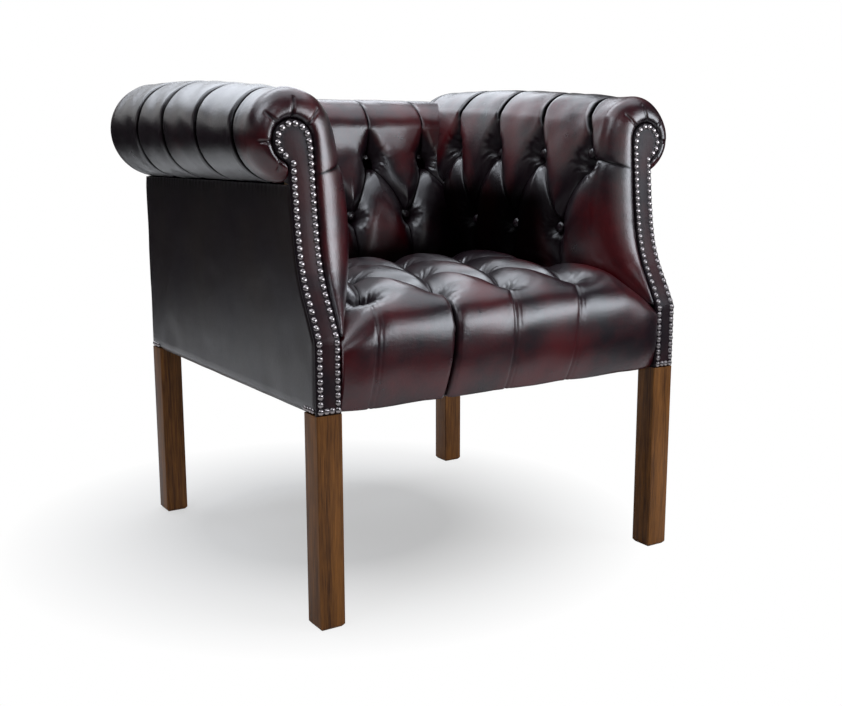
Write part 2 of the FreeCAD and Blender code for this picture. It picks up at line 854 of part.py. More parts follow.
# Covered buttons at the bottom of each tuft
def button(base, normal, across):
    rings = []
    for level, radius in ((0, button_stem), (button_rise, button_radius),
                          (button_rise + button_crown, button_top)):
        rings.append(ring_of(base, normal, across, layer_gap + level, radius, button_sides))
    return skin(rings)


def rows_between(first, pitch, low, high):
    k = math.ceil((low - first) / pitch)
    found = []
    while first + k * pitch <= high:
        found.append(first + k * pitch)
        k += 1
    return found


def make_buttons():
    up = Vector(0, 0, 1)
    along_x = Vector(1, 0, 0)
    seat = []
    half = seat_pitch / 2
    reach = seat_half - seat_button_inset
    row2 = seat_row1_y + seat_row_step
    for shift, y in ((0, seat_row1_y), (half, row2), (0, row2 + seat_row_step)):
        for x in rows_between(seat_shift + shift, seat_pitch, -reach, reach):
            seat.append(button(Vector(x, y, seat_button_z), up, along_x))
    add("seat_buttons", Part.makeCompound(seat))
    back = []
    back_reach = back_half - back_button_inset
    forward = Vector(0, -1, 0)
    for shift, u, z in ((0, back_row1_u, back_row1_z), (back_pitch / 2, back_row2_u, back_row2_z)):
        for x in rows_between(back_shift + shift, back_pitch, -back_reach, back_reach):
            back.append(button(Vector(x, u, z), forward, along_x))
    add("back_buttons", Part.makeCompound(back))
    arm = []
    arm_reach = back_row2_u - arm_button_inset
    along_y = Vector(0, 1, 0)
    for shift, u, z in ((0, arm_row1_u, arm_row1_z), (arm_pitch / 2, arm_row2_u, arm_row2_z)):
        for y in rows_between(roll_front_y + shift, arm_pitch, roll_front_y, arm_reach):
            arm.append(button(Vector(u, y, z), Vector(-1, 0, 0), along_y))
    add_pair("arm_buttons", Part.makeCompound(arm))


# Stuffing: foam under the seat and behind the arm and back covers
def foam_wire(centre, radius, base, seam_u, inner, outer, skin_top, place):
    back_radius = radius - pleat_depth - cover_thick - foam_gap
    level = top_rail_level + upper_rail_height + layer_gap
    knee = inner_knee(base, centre, back_radius)
    corners = [(base[0] + cover_thick + foam_gap, base[1]), knee]
    for degrees in reversed(inner_turns(centre, radius, seam_u)):
        corners.append(roll_point(centre, back_radius, degrees))
    corners += [(outer, skin_top), (outer, level), (inner, level), (inner, base[1])]
    return Part.makePolygon([place(u, z) for u, z in corners + corners[:1]])


def arm_foam_wire(y):
    centre, radius = arm_round(y)
    return foam_wire(centre, radius, (arm_base_u, arm_base_z), half_width + layer_gap,
                     upper_inner - hessian_thick - 2 * layer_gap, inner_face, panel_top + fit_gap,
                     in_xz(y))


def back_foam_wire(x):
    return foam_wire((back_roll_y, back_roll_z), back_roll_radius, (back_base_u, back_base_z),
                     frame_depth + layer_gap, tenon_rear - upper_rail_thick - hessian_thick
                     - 2 * layer_gap, tenon_rear, back_panel_top + fit_gap, in_yz(x))


def make_foams():
    front = seat_border_thick - seat_front_bulge + fit_gap
    side = seat_half - fit_gap
    add("seat_foam", box(-side, side, front, seat_rear_y, foam_bottom, foam_top))
    foam_end = tenon_rear - tenon_side - fit_gap
    add_pair("arm_foam", loft([arm_foam_wire(y) for y in (arm_start_y, foam_end)]))
    add("back_foam", loft([back_foam_wire(x) for x in (-back_foam_half, back_foam_half)]))


# Webbing, hessian and the dust cover under the seat
def make_layers():
    across = []
    along = []
    front = seat_border_thick - seat_front_bulge + fit_gap
    span_y = seat_rear_y - front
    span_x = 2 * (post_inner - webbing_width)
    for k in range(webbing_count):
        y = front + webbing_width * 1.3 + (span_y - webbing_width * 1.6) * k / (webbing_count - 1)
        across.append(box(-inner_face + fit_gap, inner_face - fit_gap, y - webbing_width / 2,
                          y + webbing_width / 2, rail_top, rail_top + webbing_thick))
        x = -span_x / 2 + span_x * k / (webbing_count - 1)
        along.append(box(x - webbing_width / 2, x + webbing_width / 2, front, tenon_rear,
                         rail_top + webbing_thick + layer_gap, webbing_top))
    add("seat_webbing_across", Part.makeCompound(across))
    add("seat_webbing_along", Part.makeCompound(along))
    add("seat_hessian", box(-post_inner + fit_gap, post_inner - fit_gap, front, seat_rear_y + 20,
                            hessian_bottom, hessian_bottom + hessian_thick))
    low = low_rail_level + 2
    high = top_rail_level + upper_rail_height
    sheet = upper_inner - hessian_thick - layer_gap
    arm_front = arm_start_y + fit_gap
    add_pair("arm_hessian", box(sheet, sheet + hessian_thick, arm_front, tenon_rear - tenon_side - 2,
                                low, high))
    sheet = tenon_rear - upper_rail_thick - hessian_thick - layer_gap
    add("back_hessian", box(-post_inner + 8, post_inner - 8, sheet, sheet + hessian_thick, low, high))
    plate = box(-inner_face, inner_face, front, tenon_rear, rail_bottom - layer_gap - dust_thick,
                rail_bottom - layer_gap)
    corners = []
    for x in (-half_width, half_width - leg_side - fit_gap):
        for y in (-1, frame_depth - leg_side - fit_gap):
            corners.append(box(x, x + leg_side + fit_gap, y, y + leg_side + 1 + fit_gap,
                               leg_visible, rail_bottom))
    add("dust_cover", plate.cut(corners))


def build():
    make_legs()
    make_seat_frame()
    make_upper_frame()
    make_facings()
    make_nails()
    make_panels()
    make_arms()
    add("back_cover", make_back())
    add("seat_cover", make_seat())
    make_buttons()
    make_foams()
    make_layers()


def plan_middle():
    front = min(shape.BoundBox.YMin for shape in nodes.values())
    rear = max(shape.BoundBox.YMax for shape in nodes.values())
    return (front + rear) / 2


def write():
    os.makedirs("parts", exist_ok=True)
    shift = Vector(0, -plan_middle(), 0)
    for name, shape in nodes.items():
        moved = shape.copy()
        moved.translate(shift)
        moved.exportStep("parts/" + name + ".step")


build()
write()
for name, shape in sorted(nodes.items()):
    volume = shape.Volume / 1000
    print(f"{name:24s} solids {len(shape.Solids):3d} valid {shape.isValid()} {volume:9.1f} cm3")
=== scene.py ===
import bpy
import numpy as np
from bpy.props import FloatProperty, FloatVectorProperty, PointerProperty
from mathutils import Matrix, Vector


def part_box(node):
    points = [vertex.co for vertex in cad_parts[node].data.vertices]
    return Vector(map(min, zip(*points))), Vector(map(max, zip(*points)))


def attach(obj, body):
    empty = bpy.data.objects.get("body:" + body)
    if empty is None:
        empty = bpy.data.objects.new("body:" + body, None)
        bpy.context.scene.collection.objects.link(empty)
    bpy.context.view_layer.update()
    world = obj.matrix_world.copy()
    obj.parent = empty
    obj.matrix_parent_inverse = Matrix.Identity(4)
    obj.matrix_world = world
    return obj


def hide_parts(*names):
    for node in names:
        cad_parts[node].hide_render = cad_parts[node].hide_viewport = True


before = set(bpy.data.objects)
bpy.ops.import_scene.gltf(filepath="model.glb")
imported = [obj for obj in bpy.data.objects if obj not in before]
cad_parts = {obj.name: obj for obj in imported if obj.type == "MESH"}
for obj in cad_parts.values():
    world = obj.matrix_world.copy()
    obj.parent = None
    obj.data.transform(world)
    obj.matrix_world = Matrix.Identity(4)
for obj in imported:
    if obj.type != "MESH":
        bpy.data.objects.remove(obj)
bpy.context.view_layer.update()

bl_info = {
    "name": "Deep-buttoned tub armchair",
    "version": (1, 0, 0),
    "blender": (4, 5, 0),
    "location": "View3D > Sidebar > Armchair",
    "description": "Dresses the packed frame of a tufted leather tub armchair",
    "category": "Add Mesh",
}

MM = 0.001
BODY = "root"
SIDES = (("right", 1), ("left", -1))

# Sizes read from the frame. Shapes are drawn in millimetres: x across, y back from the front
# faces of the legs, z up from the floor. One side is drawn and the other is its mirror.
LEG_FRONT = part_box("leg_front_right")[0][1]
HALF_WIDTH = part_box("leg_front_right")[1][0] / MM
LEG_SIDE = (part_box("leg_front_right")[1][0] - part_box("leg_front_right")[0][0]) / MM
PANEL_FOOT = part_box("facing_right")[0][2] / MM
DEPTH = (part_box("leg_rear_right")[1][1] - LEG_FRONT) / MM

# Upholstered faces: where they meet the seat, how far the funnel over an upper button reaches,
# and the points of a section, of which the first ones still rise
FACE_FOOT = 424.0
FUNNEL_RISE = 58.0
SECTION_POINTS = 420
RISING_POINTS = 200

# Roll of the arms: centre line, underside, and radius from the front pleat to the rear
ROLL_X = 322.0
ROLL_UNDER = 631.0
ROLL_FRONT_RADIUS = 67.0
ROLL_REAR_RADIUS = 80.5
ROLL_FRONT_Y = 130.0
ROLL_FULL_Y = 600.0
ROLL_TURN = (25, 259.5)
ROLL_TOP_T = 784.0

# Arms: where the padded border ends, its unrolled width, the corner, the tufts and their two
# button rows
ARM_START = 104.0
BORDER_WIDTH = 78.0
ARM_END = 638.5
ARM_PITCH = 128.0
ARM_TUFTS = 4
ARM_ROW1 = 670.0
ARM_ROW2 = 543.0

# Padded face of an arm as (x, z), at its front and at its rear, from the seat up
ARM_FACE_TOP = 694.0
ARM_FACE_FRONT = ((277, 424), (266, 440), (247, 473), (236, 514), (232, 564), (236, 618),
                  (244, 660), (251.5, ARM_FACE_TOP))
ARM_FACE_REAR = ((277, 424), (264, 440), (241, 473), (229, 514), (225, 564), (226, 618),
                 (231, 660), (238, 700))

# A fold is its depth at the start, in the middle and at the end, and its reach at both ends
ARM_FUNNEL = (36, 15, 1.8, 50, 18)
ARM_FALL = (36, 6, 30, 50, 50)
ARM_CLIMB = (30, 6, 36, 50, 50)
ARM_TO_SEAT = (30, 6, 5, 50, 40)
ARM_OVER = (0.8, 0.6, 0.6, 16, 12)
ARM_FORWARD = (30, 6, 2.6, 48, 30)
ARM_FORWARD_END = (2.6, 2.2, 1.6, 30, 20)
LOBE_GATHER = (2.4, 1.8, 0.3, 9, 7)

# Creases as (width, depth). A line painted as deep shade is kept alike, with its share of
# painted shade for a depth, and a pleat's faint second line lies a step beside it.
ARM_CREASE = (1.5, 2.6)
OVER_CREASE = (3.4, 8.0)
OVER_SECOND_CREASE = (1.3, 0.7)
OVER_SECOND_STEP = 8.0
GATHER_CREASE = (1.1, 1.6)
GATHER_PRESS = (1.6, 2.6)
ARM_SHADE_LINE = (1.5, 1.04)
OVER_SHADE_LINE = (3.6, 2.86)
# Wells at the buttons, depth at which the tone is fully dark (rub-off, and painted shade in
# the folds), and soft waves (seed, height)
ARM_WELL = 9.0
ARM_FADE = 12.0
ARM_WAVES = (11, 0.5)
CORNER_WAVES = (5, 0.5)
# Ramps as (start, width): the outer roll that is rubbed less, up and back, and the painted
# shade low at the rear of the arm's face, up and back
OUTER_ROLL_UP = (ROLL_TOP_T - 20, 70)
OUTER_ROLL_BACK = (ARM_START + 8, 30)
ARM_SHADE_UP = (ARM_ROW1 - 28, -60)
ARM_SHADE_BACK = (165, 90)
# Grid of an arm: columns of the border, largest step along it, and (rows, power) on both sides
# of the tuft line
BORDER_COLUMNS = 33
ARM_STEP = 1.8
ARM_ROWS_BELOW = (54, 1.4)
ARM_ROWS_ABOVE = (140, 1.3)
# Border: powers of its quarter turn, set-in and its length, stand-out, and the ways over which
# the painted shade by the facing's edge fades out and its painted-shade pleat lines begin
BORDER_OUT_POWER = 0.9
BORDER_BACK_POWER = 0.95
BORDER_SET_IN = 9.0
BORDER_SET_IN_LENGTH = 4.0
BORDER_PROUD = 3.0
BORDER_EDGE_SHADE_LENGTH = 22.0
BORDER_LINE_SHADE_LENGTH = 12.0

# How far each pleat over an arm's roll leans back, on the crown and on the outside
OVER_LEAN = ((18, 18), (7, 13), (0, 15), (-6, -5))
# Five gathers round the lobe, as shares of the way round it
LOBE_GATHER_PLACES = (0.185, 0.37, 0.555, 0.74, 0.926)
# Hidden rows that close an arm's cover, as (x, z), from under the roll down to the seat
ARM_LINING = ((331, 640), (322, 700), (300, 690), (300, 560), (300, 445))
# The leather is tucked this far behind the facing's outline
BORDER_TUCK = 16.0

# Roll of the back: centre line and radius
BACK_ROLL_Y = 643.0
BACK_ROLL_Z = 703.0
BACK_RADIUS = 71.0
BACK_ROLL_TURN = (4, 259)

# Back: pitch and shift of its tufts, heights of its two button rows, half width and folds
BACK_PITCH = 123.0
BACK_SHIFT = 82.0
BACK_TUFTS = 7
BACK_ROW1 = 661.0
BACK_ROW2 = 553.0
BACK_HALF = 282.0
BACK_FUNNEL = (38, 16, 1.8, 50, 18)
BACK_FALL = (38, 6, 40, 50, 50)
BACK_CLIMB = (40, 6, 38, 50, 50)
BACK_TO_SEAT = (40, 7, 5, 50, 40)
BACK_OVER = (1.8, 1.4, 1.4, 18, 16)
BACK_CREASE = (1.5, 2.8)
BACK_OVER_CREASE = (2.2, 6.0)
# Pleat lines painted as deep shade, as (width, share), and the most painted shade
BACK_SHADE_LINE = (2.0, 1.2)
BACK_SHADE_MOST = 0.95
BACK_WELL = 8.0
# Depth at which the tone is fully dark: rub-off, and painted shade in the folds
BACK_FADE = 14.0
BACK_WAVES = (23, 0.5)
# Painted shade, as ramps (start, width): low on the back, and at its sides (across, up)
BACK_SHADE_UP = (535, -60)
BACK_CORNER_SHADE_ACROSS = (150, 60)
BACK_CORNER_SHADE_UP = (ROLL_UNDER, -70)
BACK_STEP = 2.2
BACK_ROWS_BELOW = (50, 1.4)
BACK_ROWS_ABOVE = (130, 1.35)
# Padded face of the back and the hidden rows that close its cover, as (y, z)
BACK_FACE = ((527, 424), (521, 440), (511, 470), (509, 500), (516, 553), (535, 604), (555, 645),
             (567, 676))
BACK_LINING = ((664, 640), (650, 700), (600, 690), (560, 560), (545, 445), (545, 410),
               (498, 403))

# Seat: its tufts, the gap at which two tuft lines pass, half widths between the arms and in
# front of them, and the half width within which the tufts fit
SEAT_PITCH = 127.0
SEAT_SHIFT = 28.0
SEAT_ROWS = (60.0, 220.0, 380.0)
SEAT_ROW_GAP = 3.0
SEAT_HALF = 245.0
SEAT_FRONT_HALF = 296.5
SEAT_TUFT_HALF = 240.0
# Section of the seat and the hidden rows that close its cover, as (y, z)
SEAT_SECTION = ((6, 316.6), (1, 317.5), (-5, 335), (-10, 360), (-12, 385), (-10.5, 411),
                (-4.5, 434), (7, 454), (24, 469), (48, 480), (85, 487.5), (130, 491), (190, 492),
                (260, 492), (340, 491), (420, 488), (470, 482), (500, 470), (516, 452))
SEAT_LINING = ((505, 405), (14, 405), (14, 317))
SEAT_SECTION_POINTS = 520
SEAT_TOP_LEVEL = 470.0
SEAT_DIAGONAL = (36, 16, 36, 72, 72)
SEAT_BEHIND = 160.0
SEAT_FOLD_POWER = 2.8
SEAT_CREASE = (1.5, 2.4)
SEAT_FRONT_CREASE = (1.4, 1.2)
SEAT_SECOND_CREASE = (1.2, 0.6)
SEAT_SECOND_STEP = 8.5
SEAT_STRONG_CREASE = (3.0, 9.0)
# Pleat lines painted as deep shade, as (width, share): all the seat's, and its strong pleat's
SEAT_SHADE_LINE = (1.8, 0.78)
SEAT_STRONG_SHADE_LINE = (3.0, 1.3)
SEAT_WELL = 8.0
SEAT_FAN = 1.2
# Depth at which the tone is fully dark: rub-off, and painted shade in the folds
SEAT_FADE = 26.0
SEAT_WAVES = (37, 0.3)
SEAT_STEP = 2.4
SEAT_ROWS_FRONT = (80, 1.25)
SEAT_ROWS_BETWEEN = 64
SEAT_ROWS_REAR = (24, 1.3)
SEAT_REAR_GAP = 8.0

# Sides of the seat: where they begin to fall, how far and over which levels, the tuck of the
# front corners, and the share by which they close in between the arms
SEAT_FALL_START = 215.0
SEAT_FALL = 47.0
SEAT_FALL_UP = (400, 70)
SEAT_CORNER_TUCK = 8.5
SEAT_CORNER_ACROSS = (255, 42)
SEAT_CORNER_UP = (440, -40)
SEAT_CLOSE_IN = 0.72
SEAT_CLOSE_BACK = (36, 60)

# Pleats over the seat's front, counted from the one at SEAT_SHIFT. Each drops through places
# below its button and leans aside at each, and its depths take a strength. The leather laps
# over it from one side, where only a share of the reach is left.
SEAT_PLEAT_DROPS = (0, 28, 58, 100)
SEAT_PLEAT_END = 2.0
SEAT_PLEAT_LEANS = {-2: (0, -6, -12, -18, -28), -1: (0, -3, -7, -10, -25),
                    0: (0, -12, -22, -29, -42), 1: (0, -10, -20, -31, -50)}
SEAT_PLEAT_STRENGTHS = {-2: 0.3, -1: 1.5, 0: 0.45, 1: 0.4}
SEAT_PLEAT_DEPTHS = (34, 14, 5.0, 2.6, 1.6)
SEAT_PLEAT_REACHES = (52, 40, 26, 26)
SEAT_PLEAT_LAP = 0.45
SEAT_STRONG_PLEAT = -1

# Buttons: rows as (share of a pitch by which the row is shifted, y, z), and for an arm
# (share, x, z, count)
SEAT_BUTTONS = ((0, SEAT_ROWS[0], 449), (0.5, SEAT_ROWS[1], 453), (0, SEAT_ROWS[2], 453))
SEAT_BUTTON_HALF = 232.0
BACK_BUTTONS = ((0, 598, BACK_ROW1), (0.5, 549, BACK_ROW2))
BACK_BUTTON_HALF = 214.0
BACK_BUTTON_LEANS = {BACK_ROW1: 0.45, BACK_ROW2: 0.3}
ARM_BUTTONS = ((0, 263, ARM_ROW1, 4), (0.5, 251, ARM_ROW2, 3))
ARM_BUTTON_LEAN = 0.12
# Profiles of a button and of a nail as (radius, height)
BUTTON_PROFILE = ((0, -1.5), (6.5, -1.5), (9.0, 0.8), (9.3, 2.6), (8.3, 4.6), (5.9, 6.2),
                  (3.0, 7.0), (0, 7.3))
NAIL_PROFILE = ((0, 0), (4.55, 0), (4.7, 0.5), (4.05, 1.7), (2.5, 2.7), (0, 3.1))

# Facing: its inner edge, its lobe, the hollow arc under the lobe, and its nails
FACING_INNER = 297.5
FACING_FOOT = PANEL_FOOT + 0.4
LOBE_X = 329.0
LOBE_Z = 690.0
LOBE_RADIUS = 30.0
OGEE_RADIUS = 10.0
NAIL_PITCH = 10.4
NAIL_INSET = 6.2
SIDE_NAIL_SIZE = 0.8
SIDE_NAILS = 4
SIDE_NAIL_START = 5.3
# Levels of the facing's profile, and how far it is set back at each
FRONT_LEVELS = (316, 421, 426, 449, 470, 488, 507, 527, 550, 587, 627, 660, 735, 800)
FRONT_SETBACKS = (0, 0, 3.0, 14.8, 26.8, 36.6, 44.6, 50.6, 55.4, 60.4, 64.4, 67.3, 73.0, 77.5)
# Rings of a facing: share of the way to its middle line, lift and how far it is rubbed bright
FACING_RINGS = ((0.9, -4.8, 0), (0.0, -4.8, 0), (0.0, -2.2, 0), (0.03, -0.9, 0.3),
                (0.09, -0.2, 0.4), (0.18, 0.25, 0.45), (0.32, 0.1, 0.5), (0.55, 0.7, 0.9),
                (0.8, 1.1, 1), (1.0, 1.2, 1))
# Middle line of the facing: levels and places across
FACING_MIDDLE = ((0, 640, LOBE_Z), (317, 317.5, LOBE_X))
# Tucks of the facing's hidden rings, and the ramps within which each lies: along the post's
# inner side, and in the hollow
INNER_TUCK = 12.0
INNER_TUCK_ACROSS = (312, -8)
INNER_TUCK_UP = (620, -30)
HOLLOW_TUCK = 24.0
HOLLOW_TUCK_ACROSS = (ROLL_X, 6)
HOLLOW_TUCK_UP = (ROLL_UNDER, 3)
HOLLOW_TUCK_TOP = (672, -15)

# Outer panels: front gap to the facing, thickness of the sheet, bend and start of the gathers
PANEL_GAP = 5.6
PANEL_THICK = 4.6
PANEL_BEND = 560.0
PANEL_GATHER = 611.0
PANEL_GATHER_RISE = 20.0
PANEL_PROUD = 0.2
BACK_PANEL_HALF = 331.5
# Gathers as (pitch, wander), rolled edge as (depth, reach), and soft waves (seed, height)
SIDE_GATHERS = (13.0, 27)
SIDE_EDGE = (3.0, 4.0)
SIDE_WAVES = (41, 0.35)
REAR_GATHERS = (13.5, 29)
REAR_EDGE = (2.5, 3.5)
REAR_WAVES = (43, 0.3)

# Rings of a leg from the foot up: level, how far it is reduced, and radius of its corners
LEG_RINGS = ((0, 3.6, 1.5), (0.4, 3.2, 1.6), (3.8, 0.3, 1.8), (4.8, 0, 1.8),
             (PANEL_FOOT - 0.2, 0, 1.8), (PANEL_FOOT - 0.1, 5.4, 1.0), (393, 5.4, 1.0))

# Painted shade, as good as black: in the pleat lines, and low at the rear
SHADE_MOST = 0.97
PAINTED_SHADE_COLOR = (0.0008, 0.0004, 0.0005, 1)

# Stage, in metres and degrees
FLOOR_RINGS = (0.3, 1.0, 2.0, 3.0, 4.0, 5.0, 6.0)
FLOOR_COLOR = (0.52, 0.515, 0.505, 1)
FLOOR_LIFT = 0.42
# Distances (start, width) over which the floor turns white to the camera and to gloss
FLOOR_NEAR = (0.22, 0.36)
FLOOR_FAR = (3.2, 2.0)
SHADOW_CENTRE = (-0.10, 0.08)
FLAG_RADIUS = 1.8
FLAG_CENTRE = (-0.5, 0.55)
FLAG_HEIGHT = (0.55, 1.15)
FLAG_GAP = (-58.0, 27.0)
# Heights between which the background dims, as the rise of the line of sight, and its dim end
DIM_RISE = (0.14, 0.36)
DIM_LIGHT = 0.012
LAMP_COLOR = (0.87, 0.92, 1.0)
# Lamps: name, place, aim, size and share of the softbox power
LAMPS = (("softbox_ceiling", (0, 0.2, 2.8), (0, 0.19, 0.45), (4.0, 2.5), 1.3),
         ("softbox_middle", (-0.15, 0.75, 2.6), (-0.2, 0.1, 0.45), (1.8, 0.8), 0.5),
         ("softbox_left", (-1.6, -0.65, 2.4), (-0.2, -0.1, 0.6), (0.9, 0.9), 0.27),
         ("softbox_rear", (0.15, 2.3, 2.25), (0, 0, 0.7), (3.4, 1.1), 0.8),
         ("window_right", (1.72, -2.18, 1.2), (0, -0.3, 0.45), (1.75, 1.2), 1.15),
         ("fill_front", (-0.85, -2.4, 2.35), (0, 0.1, 0.6), (1.2, 0.7), 0.18),
         ("fill_low", (0.45, -2.9, 1.75), (0.1, 0, 0.5), (0.8, 0.7), 0.02))


# Numbers, lines and paths

def coords(*axes):
    """Points from their coordinates, each an array or one number for all of them."""
    return np.stack(np.broadcast_arrays(*axes), -1).astype(float)


def arc(x, y, radius, turn):
    """Points on a circle at the given bearings."""
    return coords(x + radius * np.cos(turn), y + radius * np.sin(turn))


def ramp(value, start, width):
    """0 before start, 1 past start + width and straight in between. With a negative width it
    is 1 below and 0 above."""
    return np.clip((value - start) / width, 0, 1)


def smooth_ramp(value, start, width):
    """The ramp u with soft ends: 3 u^2 - 2 u^3."""
    share = ramp(value, start, width)
    return share * share * (3 - 2 * share)


def zigzag(position, first, pitch):
    """0 at first + k pitch, 1 half-way between, straight in between."""
    step = ((position - first) / pitch) % 1.0
    return 1 - np.abs(2 * step - 1)


def eased(count, power):
    """Values from 0 to 1 that crowd towards 0, as powers of even steps."""
    return np.linspace(0, 1, count) ** power


def crowded(low, high, spots, step):
    """Places from low to high, at most a step apart, that crowd on both sides of each spot."""
    near = np.array([0, 1.0, 2.2, 3.8, 6.0, 9.0, 13.0, 18.0, 25.0])
    found = [low, high]
    for spot in spots:
        found += list(spot + near) + list(spot - near)
    found = np.unique(np.round([v for v in found if low <= v <= high], 3))
    filled = [found[:1]]
    for a, b in zip(found[:-1], found[1:]):
        pieces = max(1, int(np.ceil((b - a) / step)))
        filled.append(a + (b - a) * np.arange(1, pieces + 1) / pieces)
    return np.concatenate(filled)


def tuft_rows(low, valley, high, below, above):
    """Rows of a grid from low to high that crowd at the tuft line from both sides. Below and
    above are each a count of rows and a power."""
    climb = 1 - eased(*below)[::-1, None]
    leave = eased(*above)[1:, None]
    return np.vstack([low + (valley - low) * climb, valley + (high - valley) * leave])


def arc_length(path):
    """Running length along a path of points."""
    return np.concatenate([[0], np.cumsum(np.linalg.norm(np.diff(path, axis=0), axis=1))])


def smooth_path(points, count):
    """Catmull-Rom curve through the control points, resampled at equal arc length."""
    p = np.asarray(points, float)
    p = np.vstack([2 * p[0] - p[1], p, 2 * p[-1] - p[-2]])
    u = np.linspace(0, 1, 24, endpoint=False)[:, None]
    a, b, c, d = p[:-3, None], p[1:-2, None], p[2:-1, None], p[3:, None]
    curve = 0.5 * (2 * b + (c - a) * u + (2 * a - 5 * b + 4 * c - d) * u ** 2
                   + (3 * b - a - 3 * c + d) * u ** 3)
    curve = np.vstack([curve.reshape(-1, p.shape[1]), p[-2]])
    run = arc_length(curve)
    return along_path(curve, run, np.linspace(0, run[-1], count))


def along_path(values, run, at):
    """Pairs of values that are kept at running lengths, read at other lengths."""
    return coords(*(np.interp(at, run, values[:, k]) for k in (0, 1)))


def outward(path, run, at):
    """Unit normals on the left of a path, at running lengths: its slope, turned a quarter."""
    slope = np.gradient(path, axis=0)
    normal = along_path(coords(-slope[:, 1], slope[:, 0]), run, at)
    return normal / np.linalg.norm(normal, axis=-1, keepdims=True)


def length_at(level, path, run):
    """Running length at which the rising part of a section reaches a level."""
    return float(np.interp(level, path[:RISING_POINTS, 1], run[:RISING_POINTS]))


def front_y(z):
    """Facing profile: upright to the knee, then swept back along two easy bends."""
    return np.interp(z, FRONT_LEVELS, FRONT_SETBACKS)


# Folds, buttons and waves, in unrolled coordinates (s along the piece, t up its section)

def along_fold(s, t, fold):
    """Share of the way along a fold's segment, and distance from it, for each point."""
    s0, t0, s1, t1 = fold[:4]
    ds, dt = s1 - s0, t1 - t0
    p = np.clip(((s - s0) * ds + (t - t0) * dt) / (ds * ds + dt * dt), 0, 1)
    return p, np.hypot(s - s0 - p * ds, t - t0 - p * dt)


def fold_network(s, t, folds, power=3.2):
    """Depth of the folds at (s, t). Each fold is a segment with a depth at its start, middle
    and end and a reach at both ends. The leather falls to it as a power of the distance, and
    where folds meet they add as the fourth root of their summed fourth powers. A lapped fold
    has a last value, the share of the reach that is left on its lapping side."""
    blend = 4.0
    total = np.zeros(np.broadcast(s, t).shape)
    for fold in folds:
        p, d = along_fold(s, t, fold)
        start, middle, end, near, far = fold[4:9]
        depth = middle + (start - middle) * (1 - p) ** 3 + (end - middle) * p ** 3
        reach = near + (far - near) * p
        if len(fold) > 9:
            side = (s - fold[0]) * (fold[3] - fold[1]) - (t - fold[1]) * (fold[2] - fold[0])
            reach = np.where(side > 0, reach * fold[9], reach)
        total += (depth * (1 - np.clip(d / reach, 0, 1)) ** power) ** blend
    return total ** (1 / blend)


def hair_creases(s, t, folds, width, depth):
    """Thin sharp groove along each fold: depth times a bell of the distance."""
    total = np.zeros(np.broadcast(s, t).shape)
    for fold in folds:
        d = along_fold(s, t, fold)[1]
        total = np.maximum(total, np.exp(-(d / width) ** 1.5))
    return depth * total


def deepest(s, t, *groups):
    """Deepest of several groups of grooves, each given as its folds, width and depth."""
    return np.maximum.reduce([hair_creases(s, t, *group) for group in groups])


def beside(folds, step):
    """The same folds moved sideways along s, for the faint second line of a pleat."""
    return [(f[0] + step, f[1], f[2] + step, f[3]) for f in folds]


def chain(places, fold):
    """Folds end to end through a list of places."""
    return [(*a, *b, *fold) for a, b in zip(places, places[1:])]


def lip_shift(s, t, folds):
    """Sideways push of the leather next to a fold, so that one side laps over the crease. It
    rises from the crease within a millimetre and dies away as a bell of the distance."""
    amount, start, width = 2.6, 0.9, 6.5
    shift_s = np.zeros(np.broadcast(s, t).shape)
    shift_t = np.zeros(np.broadcast(s, t).shape)
    for fold in folds:
        s0, t0, s1, t1 = fold[:4]
        ds, dt = s1 - s0, t1 - t0
        length = np.hypot(ds, dt)
        p = ((s - s0) * ds + (t - t0) * dt) / length ** 2
        inside = np.clip(np.minimum(p, 1 - p) * 8 + 1, 0, 1)
        side = ((s - s0) * dt - (t - t0) * ds) / length
        bell = (1 - np.exp(-(side / start) ** 2)) * np.exp(-(side / width) ** 2)
        push = amount * inside * np.where(side > 0, bell, 0)
        shift_s -= push * dt / length
        shift_t += push * ds / length
    return shift_s, shift_t


def button_wells(s, t, spots, depth, fan_size=1.0):
    """Round well at each button, and the fine gathers that fan out from it: a sum of cosines
    of the bearing with uneven counts, strongest just outside the well and gone at 45 mm."""
    floor_radius, radius = 7.0, 20.0
    shape = np.broadcast(s, t).shape
    well = np.zeros(shape)
    gathers = np.zeros(shape)
    for k, (s0, t0) in enumerate(spots):
        r = np.hypot(s - s0, t - t0)
        turn = np.arctan2(t - t0, s - s0)
        well = np.maximum(well, depth * (1 - ramp(r, floor_radius, radius)) ** 2)
        turn = turn + 0.12 * np.sin(r / 6 + k)
        fan = (np.cos(13 * turn + 1.7 * k) + 0.8 * np.cos(22 * turn + 2.9 * k + 1.0)
               + 0.6 * np.cos(8 * turn + 0.6 * k))
        gathers += fan_size * 0.62 * fan * np.exp(-((r - 21) / 12) ** 2)
    return well, gathers


def soft_waves(s, t, seed, height):
    """Broad uneven swell of stuffed leather: a sum of seven long sine waves."""
    rng = np.random.default_rng(seed)
    total = np.zeros(np.broadcast(s, t).shape)
    for _ in range(7):
        long = rng.uniform(45, 130)
        way = rng.uniform(0, 2 * np.pi)
        phase = rng.uniform(0, 2 * np.pi)
        total += np.sin(2 * np.pi * (s * np.cos(way) + t * np.sin(way)) / long + phase)
    return height * total / 2.6


# Meshes

def metres(points):
    """Drawing millimetres, with y = 0 at the legs' front faces, to the frame's metres."""
    return np.asarray(points, float) * MM + np.array([0.0, LEG_FRONT, 0.0])


def grid_faces(rows, cols, wrap_rows=False, wrap_cols=False, first=0):
    """Quads of a rows by cols grid of vertices, joined end to end where it wraps."""
    i = np.arange(rows if wrap_rows else rows - 1)[:, None]
    j = np.arange(cols if wrap_cols else cols - 1)[None, :]
    i2, j2 = (i + 1) % rows, (j + 1) % cols
    quads = np.stack([i * cols + j, i * cols + j2, i2 * cols + j2, i2 * cols + j], -1)
    return quads.reshape(-1, 4) + first


